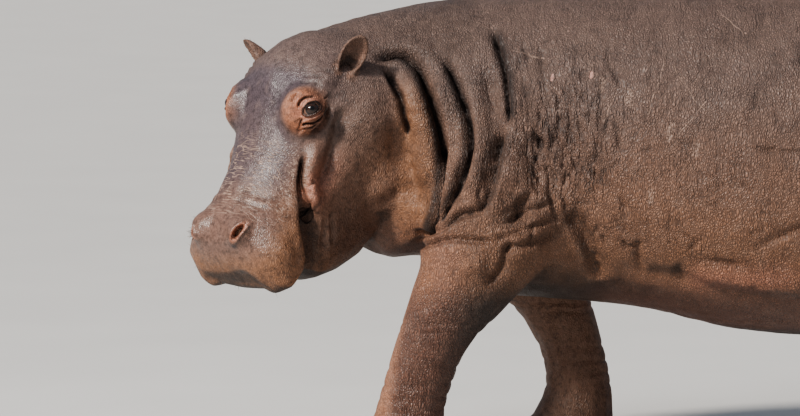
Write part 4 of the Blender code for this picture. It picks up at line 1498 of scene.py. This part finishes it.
@dataclass(frozen=True)
class HoofFinish:
    """Dull brown horn with growth lines and worn edges."""

    horn: Colour = srgb(92, 76, 64)
    worn: Colour = srgb(136, 118, 100)
    dark: Colour = srgb(50, 40, 34)

    def material(self) -> Material:
        """Builds the horn's material."""
        n = Nodes("hoof")
        layers = n.clouds(60.0, 4.0, (0.3, 0.3, 4.0))
        worn = n.clouds(90.0, 5.0)
        colour = n.mix(n.between(layers, 0.3, 0.7), self.dark, self.horn)
        colour = n.mix(n.between(worn, 0.5, 0.75), colour, self.worn)
        return n.surface({
            "Base Color": colour,
            "Roughness": n.between(worn, 0.2, 0.8, 0.45, 0.7),
            "Normal": n.bumps((layers, 0.002, 0.5), (worn, 0.001, 0.5)),
        })


@dataclass(frozen=True)
class BristleFinish:
    """Stiff dark hair, paler towards some of its tufts."""

    dark: Colour = srgb(58, 42, 34)
    fair: Colour = srgb(132, 104, 84)

    def material(self) -> Material:
        """Builds the bristles' material."""
        n = Nodes("bristle")
        shades = n.clouds(60.0, 2.0)
        return n.surface({
            "Base Color": n.mix(n.between(shades, 0.35, 0.65), self.dark, self.fair),
            "Roughness": n.between(shades, 0.2, 0.8, 0.4, 0.55),
            "Normal": n.bumps((n.clouds(900.0, 2.0), 0.0003, 0.3)),
        })


@dataclass(frozen=True)
class FloorFinish:
    """A plain pale studio floor."""

    pale: Colour = (0.62, 0.61, 0.59, 1.0)
    paler: Colour = (0.66, 0.65, 0.63, 1.0)

    def material(self) -> Material:
        """Builds the floor's material."""
        n = Nodes("floor")
        soft = n.clouds(1.5, 3.0)
        return n.surface({
            "Base Color": n.mix(soft, self.pale, self.paler),
            "Roughness": n.between(soft, 0.2, 0.8, 0.75, 0.85),
        })


# ---------------------------------------------------------------- eyes, hooves, bristles


@dataclass
class Eyeball:
    """An eyeball with a slightly swollen cornea."""

    eye: Eye
    cornea_degrees: float = 34.0
    cornea_rise: float = 0.0016

    def build(self, finish: Material) -> Object:
        """Makes the eyeball that replaces its plain solid."""
        shape = bmesh.new()
        bmesh.ops.create_uvsphere(shape, u_segments=64, v_segments=40, radius=self.eye.radius)
        mesh = mesh_from("eye", shape)
        places = places_of(mesh)
        degrees = np.degrees(np.arccos(np.clip(places[:, 2] / self.eye.radius, -1, 1)))
        rise = self.cornea_rise * np.clip(1 - (degrees / self.cornea_degrees) ** 2, 0, 1)
        places *= (1 + rise / self.eye.radius)[:, None]
        put_places(mesh, self.eye.lids.model(places))
        put_mask(mesh, "degrees", degrees)
        if self.eye.side is Side.RIGHT:
            mesh.flip_normals()
        mesh.shade_smooth()
        mesh.materials.append(finish)
        piece = new_object(f"eyeball_{self.eye.side.label}", mesh)
        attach(piece, "root")
        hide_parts(f"eye_{self.eye.side.label}")
        return piece


@dataclass
class Hoof:
    """One small blunt hoof, rounded from its plain solid."""

    node: str
    swell: float = 0.0022  # makes up for what the rounding takes off
    ridge: float = 0.0006  # the height of the growth lines
    lowest: float = 0.0008  # how far it stays off the ground

    def build(self, solid: Object, finish: Material) -> Object:
        """Makes the rounded hoof that replaces its plain solid."""
        shape = bmesh.new()
        shape.from_mesh(solid.data)
        bmesh.ops.remove_doubles(shape, verts=shape.verts, dist=SAME_PLACE)
        piece = new_object(f"nail_{self.node.removeprefix('hoof_')}", mesh_from("nail", shape))
        smooth = piece.modifiers.new("round", "SUBSURF")
        smooth.levels = smooth.render_levels = 3
        apply_modifiers(piece)
        places, normals = shape_of(piece.data)
        growth = self.ridge * np.sin(places[:, 2] * 900 + 2 * ripple(places, (60, 60, 60)))
        places = places + (self.swell + growth)[:, None] * normals
        places[:, 2] = np.maximum(places[:, 2], self.lowest)
        put_places(piece.data, places)
        piece.data.shade_smooth()
        piece.data.materials.append(finish)
        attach(piece, "root")
        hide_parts(self.node)
        return piece


@dataclass(frozen=True)
class Root:
    """Where a bristle stands, and how it points."""

    place: Vector
    direction: Vector
    length: float
    thickness: float


@dataclass
class Unwrap:
    """A flat map of the skin's own shape, on which each bristle finds its root."""

    tree: BVHTree
    corners: list[tuple[list[Vector], list[Vector]]]

    TRIANGLES = 6000  # of the lighter copy

    @classmethod
    def of(cls, skin: Object) -> Unwrap:
        """Unwraps a lighter copy of the skin."""
        copy = new_object("unwrap", skin.data.copy())
        thin = copy.modifiers.new("lighten", "DECIMATE")
        thin.ratio = cls.TRIANGLES / len(copy.data.polygons)
        apply_modifiers(copy)
        bpy.context.view_layer.objects.active = copy
        bpy.ops.object.select_all(action="DESELECT")
        copy.select_set(True)
        bpy.ops.object.mode_set(mode="EDIT")
        bpy.ops.mesh.select_all(action="SELECT")
        bpy.ops.uv.smart_project(angle_limit=math.radians(66), island_margin=0.002)
        bpy.ops.object.mode_set(mode="OBJECT")
        mesh = copy.data
        flat = mesh.uv_layers.active.data
        corners = []
        for face in mesh.polygons:
            spots = [mesh.vertices[i].co.copy() for i in face.vertices]
            corners.append((spots[:3], [flat[i].uv.to_3d() for i in list(face.loop_indices)[:3]]))
        spots = [vertex.co for vertex in mesh.vertices]
        tree = BVHTree.FromPolygons(spots, [face.vertices[:] for face in mesh.polygons])
        bpy.data.objects.remove(copy)
        return cls(tree, corners)

    def at(self, place: Vector) -> Vector:
        """The flat place of a point on the skin."""
        near, _, face, _ = self.tree.find_nearest(place)
        spots, flat = self.corners[face]
        return geometry.barycentric_transform(near, *spots, *flat)


@dataclass
class Bristles:
    """Sparse stiff hairs, joined in one mesh for each place where they grow."""

    anatomy: Anatomy
    skin: Object
    unwrap: Unwrap
    finish: Material
    seed: int = 7
    PATCH = 0.003  # the breadth of a bristle's own patch on the flat map
    SUNK = 0.001  # how deep its root stands in the skin

    def tuft(self) -> Mesh:
        """One straight bristle of unit length and thickness, with its own flat patch."""
        shape = bmesh.new()
        bmesh.ops.create_cone(
            shape, cap_ends=True, cap_tris=True, segments=4, radius1=0.5, radius2=0.10, depth=1.0,
            matrix=Matrix.Translation((0, 0, 0.5)),
        )
        long = [edge for edge in shape.edges if abs(edge.verts[0].co.z - edge.verts[1].co.z) > 0.5]
        bmesh.ops.subdivide_edges(shape, edges=long, cuts=2)
        flat = shape.loops.layers.uv.new("OFBake")
        for face in shape.faces:
            for corner in face.loops:
                spot = corner.vert.co
                corner[flat].uv = (self.PATCH * (spot.x * 0.5), self.PATCH * (spot.z - 0.5) * 0.5)
        return mesh_from("tuft", shape)

    def grow(self, name: str, roots: list[Root], bend: float) -> Object:
        """Plants a bristle at every root and joins them.

        Args:
            name: The piece's name.
            roots: Where the bristles stand.
            bend: How far a tip leans sideways, as a share of the length.

        Returns:
            The finished piece.
        """
        tuft = self.tuft()
        whole = bmesh.new()
        flat = whole.loops.layers.uv.new("OFBake")
        dice = random.Random(self.seed)
        for root in roots:
            copy = tuft.copy()
            side = root.direction.orthogonal().normalized()
            side.rotate(Matrix.Rotation(dice.uniform(0, math.tau), 3, root.direction))
            third = root.direction.cross(side)
            spots = places_of(copy)
            lean = bend * spots[:, 2] ** 2 * root.length
            axes = np.array((side, third, root.direction))
            sized = spots * (root.thickness, root.thickness, root.length)
            sized[:, 0] += lean
            put_places(copy, sized @ axes + np.array(root.place))
            before = len(whole.faces)
            whole.from_mesh(copy)
            whole.faces.ensure_lookup_table()
            spot = self.unwrap.at(root.place).to_2d()
            for face in whole.faces[before:]:
                for corner in face.loops:
                    corner[flat].uv += spot
            bpy.data.meshes.remove(copy)
        piece = new_object(name, mesh_from(name, whole))
        piece.data.shade_smooth()
        piece.data.materials.append(self.finish)
        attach(piece, "root")
        LOG.info("%s: %d bristles, %d faces", name, len(roots), len(piece.data.polygons))
        return piece

    def scatter(self, chances: Array, count: int, lengths: tuple[float, float], thickness: float,
                comb: Array, spread: float) -> list[Root]:
        """Picks roots on the skin's vertices.

        Args:
            chances: How likely each vertex is to carry a bristle.
            count: How many bristles grow.
            lengths: The shortest and the longest.
            thickness: The thickness at the root.
            comb: A direction in the model that all of them lean to.
            spread: How unlike their directions are.

        Returns:
            The roots.
        """
        mesh = self.skin.data
        places, normals = shape_of(mesh)
        dice = np.random.default_rng(self.seed + count)
        picked = dice.choice(len(places), count, p=chances / chances.sum())
        roots = []
        for row in picked:
            out = normals[row] + comb + dice.normal(0, spread, 3)
            direction = Vector(unit(out))
            length = float(dice.uniform(*lengths))
            place = Vector(places[row] - normals[row] * self.SUNK)
            roots.append(Root(place, direction, length, thickness * float(dice.uniform(0.7, 1.2))))
        return roots

    def build(self) -> None:
        """Grows the bristles of the muzzle, the ears and the tail."""
        places, normals = shape_of(self.skin.data)
        ahead, across, above = self.anatomy.head.local(places).T
        down = self.anatomy.head.turn((0.35, 0.0, -0.9))
        muzzle = ramp(ahead, 0.46, 0.56) * (above > -0.30) * (above < -0.02)
        muzzle = muzzle * (np.abs(across) < 0.26)
        roots = self.scatter(muzzle, 300, (0.006, 0.020), 0.0009, 0.35 * down, 0.25)
        self.grow("bristles_muzzle", roots, 0.18)
        ears = self.skin.data.attributes["ear"]
        chance = np.empty(len(places), np.float32)
        ears.data.foreach_get("value", chance)
        chance = np.where(chance > 0.5, chance, 0).astype(float)
        for side in Side:
            here = chance * (across * side.value > 0)
            outwards = self.anatomy.head.turn((-0.3, side.value * 0.4, 0.6))
            roots = self.scatter(here, 110, (0.004, 0.010), 0.0007, 0.8 * outwards, 0.3)
            self.grow(f"bristles_ear_{side.label}", roots, 0.2)
        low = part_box("tail")[0]
        aside, along, height = places.T
        edge = ramp(np.abs(normals[:, 1]), 0.25, 0.7) * fall(height, low.z + 0.04, low.z + 0.16)
        tip = edge * (along > low.y + 0.02) * (height > low.z - 0.01) * (np.abs(aside) < 0.07)
        roots = self.scatter(tip, 110, (0.02, 0.045), 0.0010, np.array((0.0, 0.0, -1.3)), 0.25)
        self.grow("bristles_tail", roots, 0.12)


# ---------------------------------------------------------------- the studio


@dataclass(frozen=True)
class Studio:
    """Camera, floor and soft lights."""

    target: Point = (-0.0047, -0.9627, 0.7641)
    elevation: float = math.radians(5.0)
    distance: float = 14.0
    lens: float = 211.05
    floor_radius: float = 220.0
    key_direction: Point = (0.54, -0.66, 0.60)  # from the animal to the light
    key_strength: float = 4.4
    key_spread: float = math.radians(7.0)
    window_direction: Point = (0.62, -0.55, 0.60)
    window_power: float = 160.0
    sky: Colour = (0.78, 0.86, 1.0, 1.0)
    sky_strength: float = 0.34

    def build(self) -> None:
        """Sets the camera, the lights and the floor."""
        scene = bpy.context.scene
        scene.view_settings.view_transform = "AgX"
        scene.view_settings.look = "AgX - Medium High Contrast"
        target = Vector(self.target)
        back = Vector((math.cos(self.elevation), 0, math.sin(self.elevation)))
        camera = bpy.data.objects.new("camera", bpy.data.cameras.new("camera"))
        camera.location = target + back * self.distance
        camera.rotation_euler = (-back).to_track_quat("-Z", "Y").to_euler()
        camera.data.sensor_width = 36.0
        camera.data.lens = self.lens
        camera.data.clip_end = 500.0
        scene.collection.objects.link(camera)
        scene.camera = camera
        sun = bpy.data.lights.new("key", "SUN")
        sun.energy = self.key_strength
        sun.angle = self.key_spread
        sun.color = (1.0, 0.93, 0.84)
        self.place("key", sun, self.key_direction, 10.0)
        window = bpy.data.lights.new("window", "AREA")
        window.size = 1.6
        window.energy = self.window_power
        window.color = (0.92, 0.96, 1.0)
        self.place("window", window, self.window_direction, 6.0)
        world = bpy.data.worlds.new("studio")
        world.use_nodes = True
        world.node_tree.nodes["Background"].inputs[0].default_value = self.sky
        world.node_tree.nodes["Background"].inputs[1].default_value = self.sky_strength
        scene.world = world
        shape = bmesh.new()
        bmesh.ops.create_circle(shape, cap_ends=True, segments=96, radius=self.floor_radius)
        floor = new_object("floor", mesh_from("floor", shape))
        floor.data.materials.append(FloorFinish().material())

    def place(self, name: str, data: bpy.types.Light, direction: Point, distance: float) -> None:
        """Adds a lamp that faces the animal from a direction."""
        lamp = bpy.data.objects.new(name, data)
        towards = Vector(direction).normalized()
        lamp.location = Vector(self.target) + towards * distance
        lamp.rotation_euler = (-towards).to_track_quat("-Z", "Y").to_euler()
        bpy.context.scene.collection.objects.link(lamp)


def clear_scene() -> None:
    """Removes what a new file holds."""
    for thing in list(bpy.data.objects):
        bpy.data.objects.remove(thing)


def main() -> None:
    """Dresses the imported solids."""
    logging.basicConfig(level=logging.INFO, format="%(message)s")
    clear_scene()
    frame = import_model()
    nodes = frame["nodes"]
    anatomy = Anatomy.read()
    skin = Skin(anatomy).build(nodes)
    skin.data.materials.clear()
    skin.data.materials.append(Hide().material())
    eye_finish = EyeFinish().material()
    for side in Side:
        LOG.info("piece %s", Eyeball(anatomy.eyes[side]).build(eye_finish).name)
    hoof_finish = HoofFinish().material()
    for name in sorted(nodes):
        if name.startswith("hoof_"):
            LOG.info("piece %s", Hoof(name).build(nodes[name], hoof_finish).name)
    Bristles(anatomy, skin, Unwrap.of(skin), BristleFinish().material()).build()
    Studio().build()


if __name__ == "__main__":
    main()
